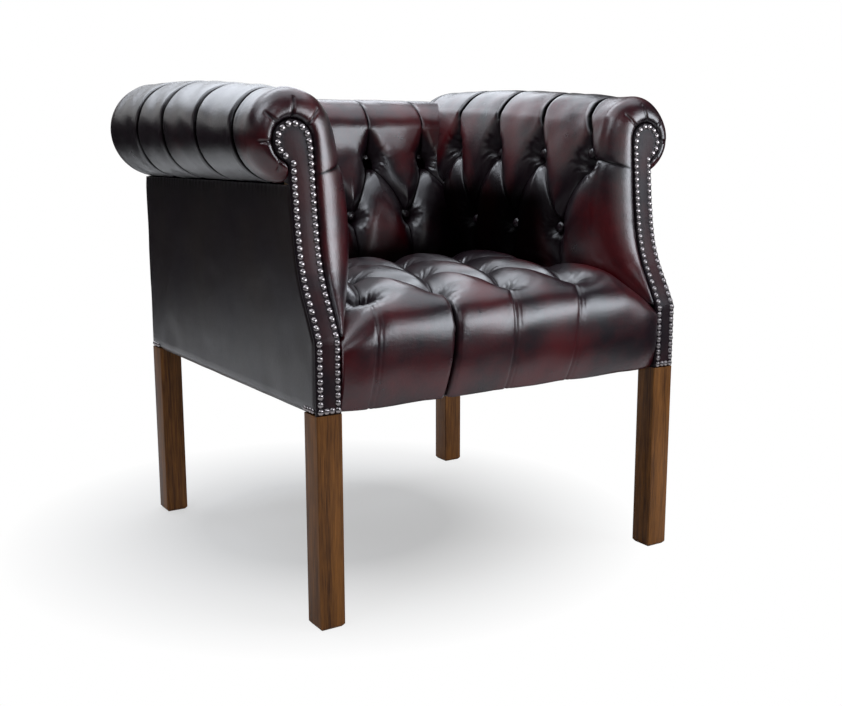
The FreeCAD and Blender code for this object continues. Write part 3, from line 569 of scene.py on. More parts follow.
def build_object(name, points, faces, caps=(), tones=None, painted_shade=None, flip=False, mirror=False):
    """Object from points in drawing millimetres, quads and polygon caps, turned outside in or
    mirrored in the chair's middle plane where asked. It may carry two values at each point:
    crown, how bright the leather is (rub-off, and painted shade in the folds), and how far it
    is painted as deep shade, near black and without gloss."""
    points = np.reshape(points, (-1, 3)) * (-1 if mirror else 1, 1, 1)
    faces = [list(map(int, f)) for f in faces] + [list(map(int, c)) for c in caps]
    if flip != mirror:
        faces = [f[::-1] for f in faces]
    mesh = bpy.data.meshes.new(name)
    mesh.from_pydata(metres(points).tolist(), [], faces)
    for key, values in (("crown", tones), ("painted_shade", painted_shade)):
        if values is not None:
            layer = mesh.attributes.new(key, "FLOAT", "POINT")
            layer.data.foreach_set("value", np.clip(values, 0, 1).astype(np.float32).ravel())
    mesh.polygons.foreach_set("use_smooth", np.full(len(mesh.polygons), True))
    mesh.validate()
    mesh.update()
    obj = bpy.data.objects.new(name, mesh)
    bpy.context.scene.collection.objects.link(obj)
    return obj


def dress(obj, material, slot, *nodes):
    """Gives a piece its material and its body, and hides the nodes it stands for. Its slot is not
    used.
    """
    obj.data.materials.append(material)
    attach(obj, BODY)
    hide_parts(*nodes)


def add_lining(points, tone, painted_shade, lining):
    """Adds the hidden closing rows to a cover's grid, painted as full shade: never bright, and
    near black without gloss.
    """
    blank = np.zeros(lining.shape[:2])
    return np.vstack([points, lining]), np.vstack([tone, blank]), np.vstack([painted_shade, blank + 1])


def tube_faces(rows, cols):
    """Faces of a grid whose rows close on themselves, and the caps at its two ends."""
    first = np.arange(rows) * cols
    return grid_faces(rows, cols, wrap_rows=True), [first, (first + cols - 1)[::-1]]


# Arms

def arm_sections():
    """Front and rear outline of an arm's padded face and roll, from the seat up and over, and
    their running length, which is level with the height between the two button rows."""
    turn = np.radians(180 - np.linspace(*ROLL_TURN, 25))
    front, rear = (smooth_path(np.vstack([face, arc(ROLL_X, ROLL_UNDER + radius, radius, turn)]),
                               SECTION_POINTS)
                   for face, radius in ((ARM_FACE_FRONT, ROLL_FRONT_RADIUS),
                                        (ARM_FACE_REAR, ROLL_REAR_RADIUS)))
    mean = (front + rear) / 2
    run = arc_length(mean)
    middle = (ARM_ROW1 + ARM_ROW2) / 2
    return front, rear, run + middle - length_at(middle, mean, run)


def arm_valley(y):
    """Height of the tuft line at y: a zigzag between the two rows of buttons, and in front of
    the first button a straight line that sinks towards the border."""
    sink, sink_length = 18, 70
    blend = np.where(y < ROLL_FRONT_Y, 0.0, zigzag(y, ROLL_FRONT_Y, ARM_PITCH))
    return (ARM_ROW1 + (ARM_ROW2 - ARM_ROW1) * blend
            - sink * ramp(y, ROLL_FRONT_Y, -sink_length))


def arm_folds(end):
    """Folds of an arm: funnels and diagonals between the two button rows with the pleats down
    to the seat, the pleats over the roll, and the pleat that runs forward to the facing."""
    over, face = [], []
    funnel = ARM_ROW1 + FUNNEL_RISE
    for k in range(ARM_TUFTS):
        y1 = ROLL_FRONT_Y + k * ARM_PITCH
        y2 = y1 + ARM_PITCH / 2
        top, outer = OVER_LEAN[k]
        over += chain([(y1, funnel), (y1 + 0.7 * top, ROLL_TOP_T - 30), (y1 + top, ROLL_TOP_T),
                       (y1 + outer, ROLL_TOP_T + 90), (y1 + outer, ROLL_TOP_T + 125),
                       (y1 + 0.6 * outer, ROLL_TOP_T + 165), (y1, end)], ARM_OVER)
        face += [(y1, ARM_ROW1, y1, funnel, *ARM_FUNNEL),
                 (y1, ARM_ROW1, y2, ARM_ROW2, *ARM_FALL),
                 (y2, ARM_ROW2, y2, FACE_FOOT, *ARM_TO_SEAT),
                 (y2, ARM_ROW2, y1 + ARM_PITCH, ARM_ROW1, *ARM_CLIMB)]
    bend = (ROLL_FRONT_Y - 34, ARM_ROW1 + 6)
    forward = [(ROLL_FRONT_Y, ARM_ROW1, *bend, *ARM_FORWARD),
               (*bend, 32, ARM_ROW1 - 6, *ARM_FORWARD_END)]
    return face, over, forward


def lobe_gathers(first, last):
    """Short pleats that gather the leather round the facing's lobe."""
    edge = ARM_START - BORDER_WIDTH
    at = first + (last - first) * np.array(LOBE_GATHER_PLACES)
    return [(edge + 5, t, edge + 34, t + 3 * (-1) ** k, *LOBE_GATHER) for k, t in enumerate(at)]


def facing_edge(z, t, join_t, end_t):
    """Point on the facing's outline that each point of the pad's front ring runs to: straight
    up the inner edge to the lobe, then round the lobe by 243 degrees."""
    lift = ramp(z, FACE_FOOT, LOBE_Z + 6 - FACE_FOOT)
    straight = coords(FACING_INNER + 1.5 * lift, FACE_FOOT + (LOBE_Z - FACE_FOOT) * lift)
    turn = np.pi - ramp(t, join_t, end_t - join_t) * np.radians(180 + 63)
    return np.where((t > join_t)[..., None], arc(LOBE_X, LOBE_Z, LOBE_RADIUS, turn), straight)


def arm_relief(s, t, end, gathers):
    """What the leather of an arm does at (s, t): how far it drops under the smooth form, how
    bright it is (rub-off, and painted shade in the folds), how far its pleat lines are painted
    as deep shade, and how far it laps along s and t."""
    face, over, forward = arm_folds(end)
    wells = [(ROLL_FRONT_Y + (k + shift) * ARM_PITCH, row)
             for shift, row in ((0, ARM_ROW1), (0.5, ARM_ROW2)) for k in range(ARM_TUFTS)]
    depth = fold_network(s, t, face + over + forward + gathers)
    well, fan = button_wells(s, t, wells, ARM_WELL)
    crease = deepest(s, t, (face + forward, *ARM_CREASE), (over, *OVER_CREASE))
    crease += hair_creases(s, t, beside(over, OVER_SECOND_STEP), *OVER_SECOND_CREASE)
    crease = np.maximum(crease, hair_creases(s, t, gathers, *GATHER_CREASE))
    # Rub-off and painted shade: the colour darkens with the depth of the folds, wells and creases
    tone = 1 - ramp(depth + well + 1.5 * crease, 0, ARM_FADE)
    tone *= 1 - 0.5 * ramp(t, *OUTER_ROLL_UP) * ramp(s, *OUTER_ROLL_BACK)
    # Pleat lines painted as deep shade: near black and without gloss
    line = deepest(s, t, (face + forward, *ARM_SHADE_LINE), (over, *OVER_SHADE_LINE))
    drop = depth + well + crease - fan - soft_waves(s, t, *ARM_WAVES)
    return drop, tone, np.clip(line, 0, SHADE_MOST), lip_shift(s, t, face)


def arm_grid():
    """Surface of one arm: columns run from the facing's edge back to the corner, rows from the
    seat up the face, over the roll and down to the seam. The front columns are the padded
    border, a quarter turn from the facing's outline back to the arm."""
    front, rear, length = arm_sections()
    end = length[-1]
    join_t = length_at(ARM_FACE_TOP, front, length)
    border = np.linspace(0, np.pi / 2, BORDER_COLUMNS, endpoint=False)
    spots = ROLL_FRONT_Y + ARM_PITCH / 2 * np.arange(2 * ARM_TUFTS + 1)
    along = crowded(ARM_START, ARM_END, spots[spots < ARM_END], ARM_STEP)
    columns = np.concatenate([ARM_START - BORDER_WIDTH * (1 - border / (np.pi / 2)), along])
    t = tuft_rows(length[0], arm_valley(columns), end, ARM_ROWS_BELOW, ARM_ROWS_ABOVE)
    s = np.broadcast_to(columns, t.shape)
    gathers = lobe_gathers(join_t, end)
    drop, tone, line, (lip_s, lip_t) = arm_relief(s, t, end, gathers)

    # Smooth section between the front and the rear outline, pulled in to the facing's edge
    rear_share = 1 - (1 - ramp(s, ROLL_FRONT_Y, ROLL_FULL_Y - ROLL_FRONT_Y)[..., None]) ** 2
    xz = (along_path(front, length, t + lip_t) * (1 - rear_share)
          + along_path(rear, length, t + lip_t) * rear_share)
    edge = facing_edge(xz[..., 1], t, join_t, end)
    angle = np.concatenate([border, np.full(len(along), np.pi / 2)])
    out = np.sin(angle)[:, None] ** BORDER_OUT_POWER
    fall = outward((front + rear) / 2, length, t) * drop[..., None] * np.clip(1.6 * out, 0, 1)
    xz = edge + (xz - edge) * out - fall

    # The border swings back from the facing, set in by a few millimetres close to its edge
    clear = np.linalg.norm(xz - edge, axis=-1)
    setback = front_y(edge[..., 1])
    start = setback + BORDER_SET_IN * np.exp(-clear / BORDER_SET_IN_LENGTH) - BORDER_PROUD
    swing = (1 - np.cos(angle)) ** BORDER_BACK_POWER
    y = np.where(s < ARM_START, start + (ARM_START - start) * swing, s + lip_s)
    y += np.cos(angle) * (hair_creases(s, t, gathers, *GATHER_PRESS)
                          + fold_network(s, t, gathers, power=1.4))
    points = coords(xz[..., 0], y, xz[..., 1])

    # Painted shade: the border darkens towards the facing's edge, in the recess beside it
    tone = tone * np.clip(0.5 + clear / BORDER_EDGE_SHADE_LENGTH, 0, 1)
    # Painted shade, near black and without gloss: low on the face towards the rear, and along the
    # pleat lines, which begin a little way from the facing's edge
    corner = SHADE_MOST * smooth_ramp(t, *ARM_SHADE_UP) * smooth_ramp(s, *ARM_SHADE_BACK)
    painted_shade = np.maximum(corner, line * ramp(clear, 0, BORDER_LINE_SHADE_LENGTH))
    tuck = points[:, :1].copy()
    tuck[:, 0, 1] = setback[:, 0] + BORDER_TUCK
    return (np.concatenate([tuck, points], 1), np.concatenate([0 * tone[:, :1], tone], 1),
            np.concatenate([painted_shade[:, :1], painted_shade], 1))


def corner_dome(around=80, rings=22):
    """Rounded rear corner: a half sphere behind the roll's end. Its radius swells with soft
    waves of the place across and up, which grow with the sine of the rise."""
    ring = np.radians(np.linspace(0, 360, around, endpoint=False))[None, :]
    rise = np.radians(np.linspace(0, 90, rings))[:-1, None]
    across, high = np.cos(ring) * np.cos(rise), np.sin(ring) * np.cos(rise)
    radius = ROLL_REAR_RADIUS + soft_waves(80 * across, 80 * high, *CORNER_WAVES) * np.sin(rise)
    return coords(ROLL_X - radius * across, ARM_END + radius * np.sin(rise),
                  ROLL_UNDER + ROLL_REAR_RADIUS + radius * high)


def make_arm(side, leather):
    """One arm's cover with its corner."""
    points, tone, painted_shade = arm_grid()
    front = points[0, :, 1]
    lining = np.stack([coords(x, np.maximum(front, front_y(z) + BORDER_TUCK), z)
                       for x, z in ARM_LINING])
    rows, tone, painted_shade = add_lining(points, tone, painted_shade, lining)
    faces, caps = tube_faces(*rows.shape[:2])

    dome = corner_dome()
    rise, around = dome.shape[:2]
    first = tone.size
    tip = first + rise * around
    faces = np.vstack([faces, grid_faces(rise, around, wrap_cols=True, first=first)])
    last_ring = tip - around + np.arange(around)
    caps.append(np.arange(around)[::-1] + first)
    caps += [(a, b, tip) for a, b in zip(last_ring, np.roll(last_ring, -1))]
    pole = (ROLL_X, ARM_END + ROLL_REAR_RADIUS, ROLL_UNDER + ROLL_REAR_RADIUS)
    flat = np.vstack([rows.reshape(-1, 3), dome.reshape(-1, 3), pole])
    tone = np.concatenate([tone.ravel(), np.full(rise * around + 1, 0.9)])
    painted_shade = np.concatenate([painted_shade.ravel(), np.zeros(rise * around + 1)])
    obj = build_object("arm_cover_leather_" + side, flat, faces, caps, tone, painted_shade, flip=True,
                       mirror=side == "left")
    dress(obj, leather, "cover_leather", "arm_cover_" + side, "arm_border_" + side,
          "corner_cover_" + side, "arm_foam_" + side)


# Back

def back_section():
    """Outline of the back's padded face and roll, as (y, z) from the seat up and over, and its
    running length, which is level with the height at the lower button row."""
    turn = np.radians(180 - np.linspace(*BACK_ROLL_TURN, 26))
    path = smooth_path(np.vstack([BACK_FACE, arc(BACK_ROLL_Y, BACK_ROLL_Z, BACK_RADIUS, turn)]),
                       SECTION_POINTS)
    run = arc_length(path)
    return path, run + BACK_ROW2 - length_at(BACK_ROW2, path, run)


def back_folds(row1, end):
    """Folds of the back's face, its pleats over the roll, and its buttons, with t = row1 at
    the upper row. The back is laid out from four pitches left of its shift."""
    face, over, wells = [], [], []
    row2 = BACK_ROW2
    for k in range(BACK_TUFTS):
        x1 = BACK_SHIFT + (k - 4) * BACK_PITCH
        x2 = x1 + BACK_PITCH / 2
        face += [(x1, row1, x1, row1 + FUNNEL_RISE, *BACK_FUNNEL),
                 (x1, row1, x2, row2, *BACK_FALL),
                 (x2, row2, x1 + BACK_PITCH, row1, *BACK_CLIMB),
                 (x2, row2, x2, FACE_FOOT, *BACK_TO_SEAT)]
        over.append((x1, row1 + FUNNEL_RISE, x1, end, *BACK_OVER))
        wells += [(x1, row1), (x2, row2)]
    return face, over, wells


def make_back(leather):
    """The back's cover: diamonds between two button rows, pleats over the roll."""
    path, length = back_section()
    end = length[-1]
    row1 = length_at(BACK_ROW1, path, length)
    spots = BACK_SHIFT + BACK_PITCH * (np.arange(2 * BACK_TUFTS) / 2 - 4)
    columns = crowded(-BACK_HALF, BACK_HALF, spots[np.abs(spots) < BACK_HALF], BACK_STEP)
    valley = row1 + (BACK_ROW2 - row1) * zigzag(columns, BACK_SHIFT, BACK_PITCH)
    t = tuft_rows(length[0], valley, end, BACK_ROWS_BELOW, BACK_ROWS_ABOVE)
    s = np.broadcast_to(columns, t.shape)
    face, over, wells = back_folds(row1, end)
    depth = fold_network(s, t, face + over)
    well, fan = button_wells(s, t, wells, BACK_WELL)
    crease = deepest(s, t, (face, *BACK_CREASE), (over, *BACK_OVER_CREASE))
    drop = depth + well + crease - fan - soft_waves(s, t, *BACK_WAVES)
    lip_s, lip_t = lip_shift(s, t, face + over)
    yz = along_path(path, length, t + lip_t) - outward(path, length, t) * drop[..., None]
    points = coords(s + lip_s, yz[..., 0], yz[..., 1])

    # Rub-off and painted shade: the colour darkens with the depth of the folds, wells and creases
    tone = 1 - ramp(depth + well + crease, 0, BACK_FADE)
    # Painted shade, near black and without gloss: low on the back, low at its sides under the
    # roll, and along the pleat lines
    corner = ramp(np.abs(s), *BACK_CORNER_SHADE_ACROSS) * ramp(t, *BACK_CORNER_SHADE_UP)
    line = np.clip(hair_creases(s, t, face + over, *BACK_SHADE_LINE), 0, 1)
    painted_shade = BACK_SHADE_MOST * np.maximum.reduce([smooth_ramp(t, *BACK_SHADE_UP), corner, line])
    lining = np.stack([coords(columns, y, z) for y, z in BACK_LINING])
    rows, tone, painted_shade = add_lining(points, tone, painted_shade, lining)
    faces, caps = tube_faces(*rows.shape[:2])
    obj = build_object("back_cover_leather", rows, faces, caps, tone, painted_shade)
    dress(obj, leather, "cover_leather", "back_cover", "back_foam")


# Seat

def seat_rows(columns, rows, end):
    """Rows of the seat's grid: up to the front tuft line, on to the middle and the rear one,
    and up to the back. The tuft lines are zigzags between the rows of buttons, and outside the
    tufts they run straight on."""
    inside = np.clip(columns, -SEAT_TUFT_HALF, SEAT_TUFT_HALF)
    blend = zigzag(inside, SEAT_SHIFT, SEAT_PITCH)
    apart = SEAT_ROW_GAP
    first = rows[0] + (rows[1] - apart - rows[0]) * blend
    middle = rows[2] - apart - (rows[2] - rows[1] - 2 * apart) * blend
    last = np.minimum(rows[2] + apart + (rows[2] - rows[1]) * blend, end - SEAT_REAR_GAP)
    lobe = (1 - np.cos(np.pi * np.linspace(0, 1, SEAT_ROWS_BETWEEN)[1:, None])) / 2
    return np.vstack([first * (1 - eased(*SEAT_ROWS_FRONT)[::-1, None]),
                      first + (middle - first) * lobe,
                      middle + (last - middle) * lobe,
                      last + (end - last) * eased(*SEAT_ROWS_REAR)[1:, None]])


def seat_pleat(k, row):
    """One pleat over the seat's front, in straight runs from its button to the lower seam."""
    places = [(SEAT_SHIFT + k * SEAT_PITCH + lean, row - drop)
              for lean, drop in zip(SEAT_PLEAT_LEANS[k],
                                    (*SEAT_PLEAT_DROPS, row - SEAT_PLEAT_END))]
    button, *rest = SEAT_PLEAT_DEPTHS
    depths = [button] + [SEAT_PLEAT_STRENGTHS[k] * depth for depth in rest]
    return [(*a, *b, start, (start + end) / 2, end, reach, 0.8 * reach, SEAT_PLEAT_LAP)
            for a, b, start, end, reach in zip(places, places[1:], depths, depths[1:],
                                               SEAT_PLEAT_REACHES)]


def seat_folds(rows):
    """Folds between the seat's buttons, the pleats over its front, and its buttons."""
    top, front, wells = [], [], []
    behind = rows[2] + SEAT_BEHIND
    for k in range(-3, 3):
        x1 = SEAT_SHIFT + k * SEAT_PITCH
        x2 = x1 + SEAT_PITCH / 2
        if k in SEAT_PLEAT_LEANS:
            front += seat_pleat(k, rows[0])
            wells += [(x1, rows[0]), (x1, rows[2])]
        if abs(x2) < SEAT_TUFT_HALF:
            wells.append((x2, rows[1]))
        for x in (x1, x1 + SEAT_PITCH):
            if min(abs(x), abs(x2)) < SEAT_TUFT_HALF + 4:
                top += [(x, rows[0], x2, rows[1], *SEAT_DIAGONAL),
                        (x2, rows[1], x, rows[2], *SEAT_DIAGONAL),
                        (x, rows[2], x2, behind, *SEAT_DIAGONAL)]
    return top, front, wells


def seat_fit(s, lip_s, y, z):
    """The seat's places with its sides shaped: lower towards both ends, tucked back at the
    front corners, and narrower between the arms than in front of them."""
    wide = np.abs(s)
    side = ramp(wide, SEAT_FALL_START, SEAT_FRONT_HALF - SEAT_FALL_START)
    z = z - SEAT_FALL * side ** 1.6 * ramp(z, *SEAT_FALL_UP)
    corner = ramp(wide, *SEAT_CORNER_ACROSS) ** 2 * ramp(z, *SEAT_CORNER_UP)
    y = y + SEAT_CORNER_TUCK * corner
    reach = 1 - SEAT_CLOSE_IN * smooth_ramp(y, *SEAT_CLOSE_BACK)
    wide = np.where(wide > SEAT_HALF, SEAT_HALF + (wide - SEAT_HALF) * reach, wide)
    return coords(np.sign(s) * wide + lip_s, y, z)


def make_seat(leather):
    """The seat's cover: long diamonds between three button rows, pleats over the front."""
    path = smooth_path(SEAT_SECTION, SEAT_SECTION_POINTS)
    length = arc_length(path)
    on_top = path[:, 1] > SEAT_TOP_LEVEL
    rows_t = [float(np.interp(y, path[on_top, 0], length[on_top])) for y in SEAT_ROWS]
    spots = SEAT_SHIFT + SEAT_PITCH / 2 * np.arange(-8, 9)
    inner = spots[np.abs(spots) < SEAT_TUFT_HALF - 4]
    columns = crowded(-SEAT_FRONT_HALF, SEAT_FRONT_HALF, inner, SEAT_STEP)
    t = seat_rows(columns, rows_t, length[-1])
    s = np.broadcast_to(columns, t.shape)
    top, front, wells = seat_folds(rows_t)
    strong = seat_pleat(SEAT_STRONG_PLEAT, rows_t[0])
    depth = fold_network(s, t, top + front, power=SEAT_FOLD_POWER)
    well, fan = button_wells(s, t, wells, SEAT_WELL, SEAT_FAN)
    crease = deepest(s, t, (top, *SEAT_CREASE), (front, *SEAT_FRONT_CREASE),
                     (strong, *SEAT_STRONG_CREASE))
    crease += hair_creases(s, t, beside(front, SEAT_SECOND_STEP), *SEAT_SECOND_CREASE)
    drop = depth + well + crease - fan - soft_waves(s, t, *SEAT_WAVES)
    lip_s, lip_t = lip_shift(s, t, top + strong)
    yz = along_path(path, length, t + lip_t) - outward(path, length, t) * drop[..., None]
    points = seat_fit(s, lip_s, yz[..., 0], yz[..., 1])

    # Rub-off and painted shade: the colour darkens with the depth of the folds, wells and creases
    tone = 1 - ramp(depth + well + crease, 0, SEAT_FADE)
    # Pleat lines painted as deep shade: near black and without gloss
    line = deepest(s, t, (top, *SEAT_SHADE_LINE), (strong, *SEAT_STRONG_SHADE_LINE))
    painted_shade = np.clip(line, 0, SHADE_MOST)
    lining = np.stack([coords(points[0, :, 0], y, z) for y, z in SEAT_LINING])
    rows, tone, painted_shade = add_lining(points, tone, painted_shade, lining)
    faces, caps = tube_faces(*rows.shape[:2])
    obj = build_object("seat_cover_leather", rows, faces, caps, tone, painted_shade)
    dress(obj, leather, "cover_leather", "seat_cover", "seat_foam")


# Buttons and nails

def turned_profile(profile, sides):
    """Surface of revolution of a (radius, height) profile, closed at both poles."""
    profile = np.asarray(profile, float)
    turn = 2 * np.pi * np.arange(sides) / sides
    radius, height = profile[1:-1, 0, None], profile[1:-1, 1, None]
    body = coords(radius * np.cos(turn), radius * np.sin(turn), height)
    points = np.vstack([body.reshape(-1, 3), [[0, 0, profile[0, 1]], [0, 0, profile[-1, 1]]]])
    rings = len(profile) - 2
    faces = grid_faces(rings, sides, wrap_cols=True).tolist()
    low, high = rings * sides, rings * sides + 1
    last_ring = (rings - 1) * sides
    for k in range(sides):
        after = (k + 1) % sides
        faces.append([low, after, k])
        faces.append([high, last_ring + k, last_ring + after])
    return points, faces


def placed_copies(name, template, faces, spots, normals):
    """One mesh of many copies of a template, each turned so that its axis follows a normal.
    One normal may stand for all the copies."""
    normals = np.array(normals, float)
    normals /= np.linalg.norm(normals, axis=1, keepdims=True)
    helper = np.where(np.abs(normals[:, :1]) > 0.8, [[0.0, 1.0, 0.0]], [[1.0, 0.0, 0.0]])
    first = np.cross(normals, helper)
    first /= np.linalg.norm(first, axis=1, keepdims=True)
    turn = np.stack([first, np.cross(normals, first), normals], 1)
    points = np.einsum("pk,nkc->npc", template, turn) + np.asarray(spots, float)[:, None, :]
    offset = np.arange(len(spots)) * len(template)
    return build_object(name, points, [[v + o for v in f] for o in offset for f in faces])


def row_places(shift, pitch, half):
    """Places x = shift + k pitch that lie within a half width."""
    x = shift + pitch * np.arange(-4, 5)
    return x[np.abs(x) < half]


def make_buttons(leather):
    """Leather-covered buttons at the bottom of each tuft."""
    template, faces = turned_profile(BUTTON_PROFILE, 24)
    seat = [(x, y, z) for share, y, z in SEAT_BUTTONS
            for x in row_places(SEAT_SHIFT + share * SEAT_PITCH, SEAT_PITCH, SEAT_BUTTON_HALF)]
    back = [(x, y, z) for share, y, z in BACK_BUTTONS
            for x in row_places(BACK_SHIFT + share * BACK_PITCH, BACK_PITCH, BACK_BUTTON_HALF)]
    arm = [(x, ROLL_FRONT_Y + (k + share) * ARM_PITCH, z)
           for share, x, z, count in ARM_BUTTONS for k in range(count)]
    leans = [(0, -1, BACK_BUTTON_LEANS[z]) for _, _, z in back]
    rows = [("seat_buttons", "", seat, [(0, 0, 1)]), ("back_buttons", "", back, leans)]
    rows += [("arm_buttons", "_" + side, np.array(arm) * (sign, 1, 1),
              [(-sign, 0, ARM_BUTTON_LEAN)]) for side, sign in SIDES]
    for node, side, spots, normals in rows:
        obj = placed_copies(node + "_leather" + side, template, faces, spots, normals)
        dress(obj, leather, "button_leather", node + side)


def ogee():
    """Hollow arc under the lobe, which touches the shaft and the lobe: its centre, and the
    bearing from the lobe's centre at which the two arcs meet."""
    x = HALF_WIDTH + OGEE_RADIUS
    z = LOBE_Z - np.sqrt((LOBE_RADIUS + OGEE_RADIUS) ** 2 - (x - LOBE_X) ** 2)
    return x, z, np.arctan2(z - LOBE_Z, x - LOBE_X)


def facing_outline():
    """Facing outline as (x, z): shaft, hollow under the lobe, lobe, and back down inside."""
    ogee_x, ogee_z, turn = ogee()
    shaft = np.linspace(FACING_FOOT, ogee_z, 60)
    inner_x = np.linspace(LOBE_X - LOBE_RADIUS, FACING_INNER, 60)
    inner_z = np.linspace(LOBE_Z, FACING_FOOT, 60)
    foot = np.linspace(FACING_INNER, HALF_WIDTH, 7)
    return np.vstack([coords(HALF_WIDTH, shaft),
                      arc(ogee_x, ogee_z, OGEE_RADIUS, np.linspace(np.pi, np.pi + turn, 9))[1:],
                      arc(LOBE_X, LOBE_Z, LOBE_RADIUS, np.linspace(turn, np.pi, 40))[1:],
                      coords(inner_x, inner_z)[1:],
                      coords(foot, FACING_FOOT)[1:-1]])


def make_facing(side, leather):
    """Facing: its outline shrinks to the shaft's middle line, over a quarter-round edge, and
    the leather is wrapped back along the inner side of the post and in the hollow."""
    rim = facing_outline()
    x, z = rim[:, 0], rim[:, 1]
    spine_z = np.clip(z, PANEL_FOOT + 18, LOBE_Z)
    spine = coords(np.interp(spine_z, *FACING_MIDDLE), spine_z)
    inner = ramp(x, *INNER_TUCK_ACROSS) * ramp(z, *INNER_TUCK_UP)
    hollow = ramp(x, *HOLLOW_TUCK_ACROSS) * ramp(z, *HOLLOW_TUCK_UP) * ramp(z, *HOLLOW_TUCK_TOP)
    tuck = np.maximum(INNER_TUCK * inner, HOLLOW_TUCK * hollow)
    rings = []
    for share, lift, _ in FACING_RINGS:
        xz = rim + (spine - rim) * share
        rings.append(coords(xz[:, 0], front_y(xz[:, 1]) - lift + (lift < -4) * tuck, xz[:, 1]))
    points = np.stack(rings)
    count, around = points.shape[:2]
    tones = np.repeat([tone for _, _, tone in FACING_RINGS], around)
    obj = build_object("facing_leather_" + side, points,
                       grid_faces(count, around, wrap_cols=True), tones=tones,
                       mirror=side == "left")
    dress(obj, leather, "panel_leather", "facing_" + side)


def evenly(low, high):
    """Places from low to high at about the nails' pitch."""
    return np.linspace(low, high, 1 + round((high - low) / NAIL_PITCH))


def nail_line():
    """Centres of the facing's nails as (x, z), at an even pitch along the inset outline."""
    outer_x, inner_x = HALF_WIDTH - NAIL_INSET, FACING_INNER + NAIL_INSET
    bottom, ring = PANEL_FOOT + NAIL_INSET, LOBE_RADIUS - NAIL_INSET
    first = ogee()[2] + np.radians(6)
    lift = LOBE_Z + ring * np.sin(first)
    angle = first + evenly(0, (np.pi - first) * ring) / ring
    return np.vstack([coords(evenly(inner_x, outer_x), bottom),
                      coords(outer_x, evenly(bottom, lift - NAIL_PITCH)[1:]),
                      arc(LOBE_X, LOBE_Z, ring, angle),
                      coords(inner_x, evenly(bottom, LOBE_Z)[1:-1])])


def make_nails(side, sign, metal):
    """Domed nails round one facing, set by hand, and the short rows on the side panel."""
    template, faces = turned_profile(NAIL_PROFILE, 12)
    rng = np.random.default_rng(3)
    line = nail_line()
    line = line + rng.uniform(-0.25, 0.25, line.shape)
    x, z = line[:, 0], line[:, 1]
    slope = front_y(z + 1) - front_y(z - 1)
    normals = coords(rng.uniform(-0.05, 0.05, len(line)), -2.0, slope)
    spots = coords(sign * x, front_y(z) - 0.1, z)
    dress(placed_copies("facing_nails_metal_" + side, template, faces, spots, normals),
          metal, "nail_metal", "facing_nails_" + side)
    spots = [(sign * HALF_WIDTH, start + NAIL_INSET + k * NAIL_PITCH * SIDE_NAIL_SIZE,
              PANEL_FOOT + NAIL_INSET)
             for start in (SIDE_NAIL_START, DEPTH - LEG_SIDE) for k in range(SIDE_NAILS)]
    dress(placed_copies("side_nails_metal_" + side, template * SIDE_NAIL_SIZE, faces, spots,
                        [(sign, 0, 0)]), metal, "nail_metal", "side_nails_" + side)


# Panels and legs

def seam_gathers(along, z, pitch, wander):
    """Gathers under the roll: how far they have grown at height z, and their uneven ripple, the
    third power of a cosine whose phase wanders."""
    grown = ramp(z, PANEL_GATHER, PANEL_GATHER_RISE) ** 1.3
    phase = 2 * np.pi * along / pitch + 2.2 * np.sin(along / wander) + np.sin(along / 9.7)
    return grown, (0.5 + 0.5 * np.cos(phase)) ** 3


def rolled_edge(gap, depth, reach):
    """Drop of a sheet towards its rim: a quarter ellipse of the gap to the rim."""
    return depth * (1 - np.sqrt(1 - (1 - np.clip(gap / reach, 0, 1)) ** 2))


def build_sheet(name, outer, axis, inner_at, tones, mirror=False):
    """Leather sheet: its outer grid, the same grid laid flat at inner_at along one axis, and
    the strip that joins their rims."""
    inner = outer.copy()
    inner[..., axis] = inner_at
    count, wide = outer.shape[:2]
    size = count * wide
    ring = np.concatenate([np.arange(wide), np.arange(1, count) * wide + wide - 1,
                           (count - 1) * wide + np.arange(wide - 1)[::-1],
                           np.arange(1, count - 1)[::-1] * wide])
    after = np.roll(ring, -1)
    faces = np.vstack([grid_faces(count, wide), grid_faces(count, wide, first=size)[:, ::-1],
                       np.stack([after, ring, ring + size, after + size], -1)])
    return build_object(name, np.stack([outer, inner]), faces,
                        tones=np.stack([tones, np.zeros(tones.shape)]), flip=True, mirror=mirror)


def make_side_panel(side, leather):
    """Outer side panel: a flat sheet of leather with a rolled edge, gathered under the roll."""
    levels = np.concatenate([np.linspace(PANEL_FOOT, PANEL_BEND, 30),
                             np.linspace(PANEL_BEND + 4, ROLL_UNDER - 0.4, 26)])
    z, share = np.meshgrid(levels, np.linspace(0, 1, 150), indexing="ij")
    front = front_y(z) + PANEL_GAP
    y = front + (DEPTH - front) * share
    grown, ripple = seam_gathers(y, z, *SIDE_GATHERS)
    edge = np.minimum.reduce([z - PANEL_FOOT, y - front, DEPTH - y])
    swell = 0.44 * np.sin(np.pi * share) * ramp(z, PANEL_FOOT, 60)
    drop = rolled_edge(edge, *SIDE_EDGE) + (1.5 * ripple + 0.8) * grown
    x = HALF_WIDTH - drop + swell + soft_waves(y, z, *SIDE_WAVES)
    outer = coords(np.minimum(x, HALF_WIDTH + PANEL_PROUD), y, z)
    # Painted shade: the colour darkens in the grooves of the gathers
    obj = build_sheet("outer_panel_leather_" + side, outer, 0, HALF_WIDTH - PANEL_THICK,
                      1 - grown * ripple, mirror=side == "left")
    dress(obj, leather, "panel_leather", "outer_panel_side_" + side)


